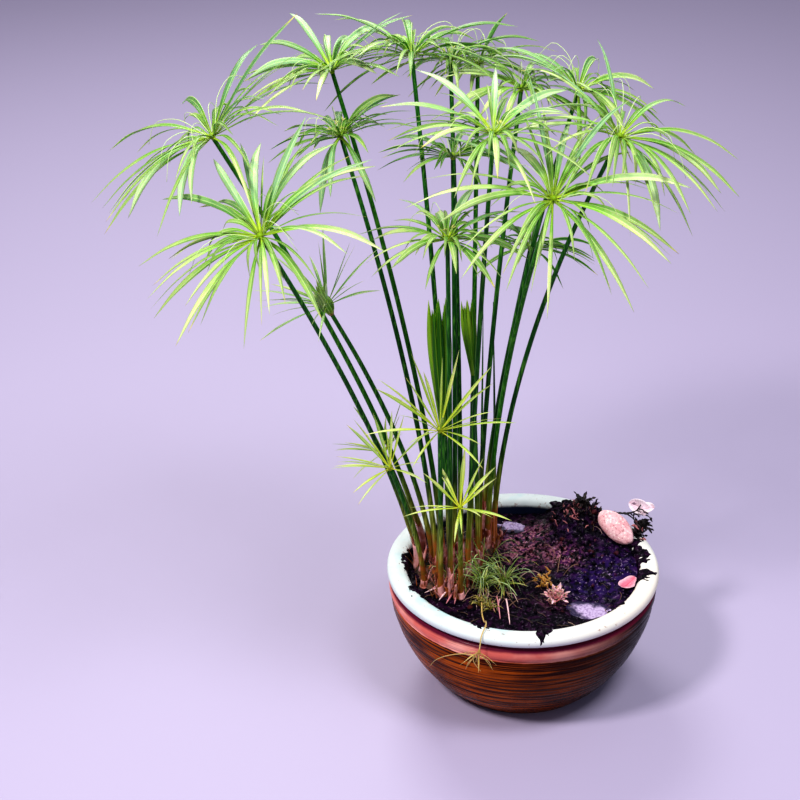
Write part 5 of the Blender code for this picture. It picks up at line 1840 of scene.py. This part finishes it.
# Side branches: where each leaves the twig, in which direction, and how long it is.
BRANCHES = ((0.55, (0.7, -0.5, 0.5), 0.022), (0.62, (0.6, -0.9, -0.1), 0.026),
            (0.70, (0.5, 0.5, -0.4), 0.016), (0.88, (0.7, 0.1, -0.5), 0.014),
            (0.80, (0.1, -0.8, -0.9), 0.020), (0.90, (0.5, -0.7, 0.2), 0.014))
twig_line, twig_radii = rod("twig", upright)
twig_path = flowing(twig_line, TWIG_STATIONS)
for i in range(2, TWIG_STATIONS):
    twig_path[i] += np.array([noise.noise(Vector((i * 0.6, axis, 3.0))) for axis in (0.0, 1.0, 2.0)]) * 0.0012
twig = Shape()
twig_wide = np.interp(np.linspace(0, 1, TWIG_STATIONS), np.linspace(0.0, 1.0, len(twig_radii)), twig_radii)
knots = 1.0 + 0.16 * np.sin(np.arange(TWIG_STATIONS) * 1.7)
tube(twig, twig_path, twig_wide * knots, sides=10, tone=0.2)
chance = random.Random("twig")
for share, way, reach in BRANCHES:
    start = along_path(twig_path, share)
    way = unit(np.array(way))
    bend = np.array([chance.uniform(-0.004, 0.004) for _ in range(3)])
    line = thread(twig, [start, start + way * reach * 0.5 + bend, start + way * reach], 10, 0.0013, 0.0006, 7,
                  tone=chance.uniform(0.0, 0.4))
    tip = line[-1]
    blade(twig, [line[-2], tip + way * 0.003, tip + way * 0.008, tip + way * 0.012 - (0, 0, 0.003)],
          np.cross(way, UPWARDS), 0.005, thick=0.0009, stations=10, fold=0.5, wave=0.5, tone=0.3)
twig.piece("dark_twig", litter_dark, "litter", "twig")

# %% Petals
# Each petal's place, the way it points, the way it faces, its length and its width, in metres.
PETALS = (((0.172, 0.102, 0.2290), (0.9, -0.2, -0.3), (-0.2, -0.8, 0.5), 0.034, 0.022),
          ((0.184, 0.098, 0.2290), (0.9, -0.2, 0.2), (-0.1, -0.6, 0.8), 0.024, 0.016),
          ((0.176, 0.096, 0.2230), (0.5, -0.7, -0.5), (0.3, -0.6, 0.5), 0.016, 0.010),
          ((0.163, 0.106, 0.2300), (-0.1, -0.2, 1.0), (0.2, -1.0, -0.1), 0.016, 0.009))
faded = petal_finish("faded_petal", (0.82, 0.70, 0.78), (0.72, 0.54, 0.64), (0.46, 0.24, 0.32))
petals = Shape()
for spot, way, up, length, width in PETALS:
    way = unit(np.array(way))
    up = unit(np.array(up) - way * np.array(up).dot(way))
    loose_leaf(petals, np.array(spot), way, up, length, width, 0.003, thick=0.0004, cup=0.5)
petals.piece("faded_petals", faded, "fallen_leaf")

# %% [markdown]
# ## The measure of it
# The last cell prints by how many millimetres the dressed scene's box differs from the solids' box, at its
# low corner and at its high one.

# %% Finish
dressed_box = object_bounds()
grown = [(b - a) / MM for first, second in zip(cad_box, dressed_box) for a, b in zip(first, second)]
print("grown by", [round(float(d), 1) for d in grown], "mm")
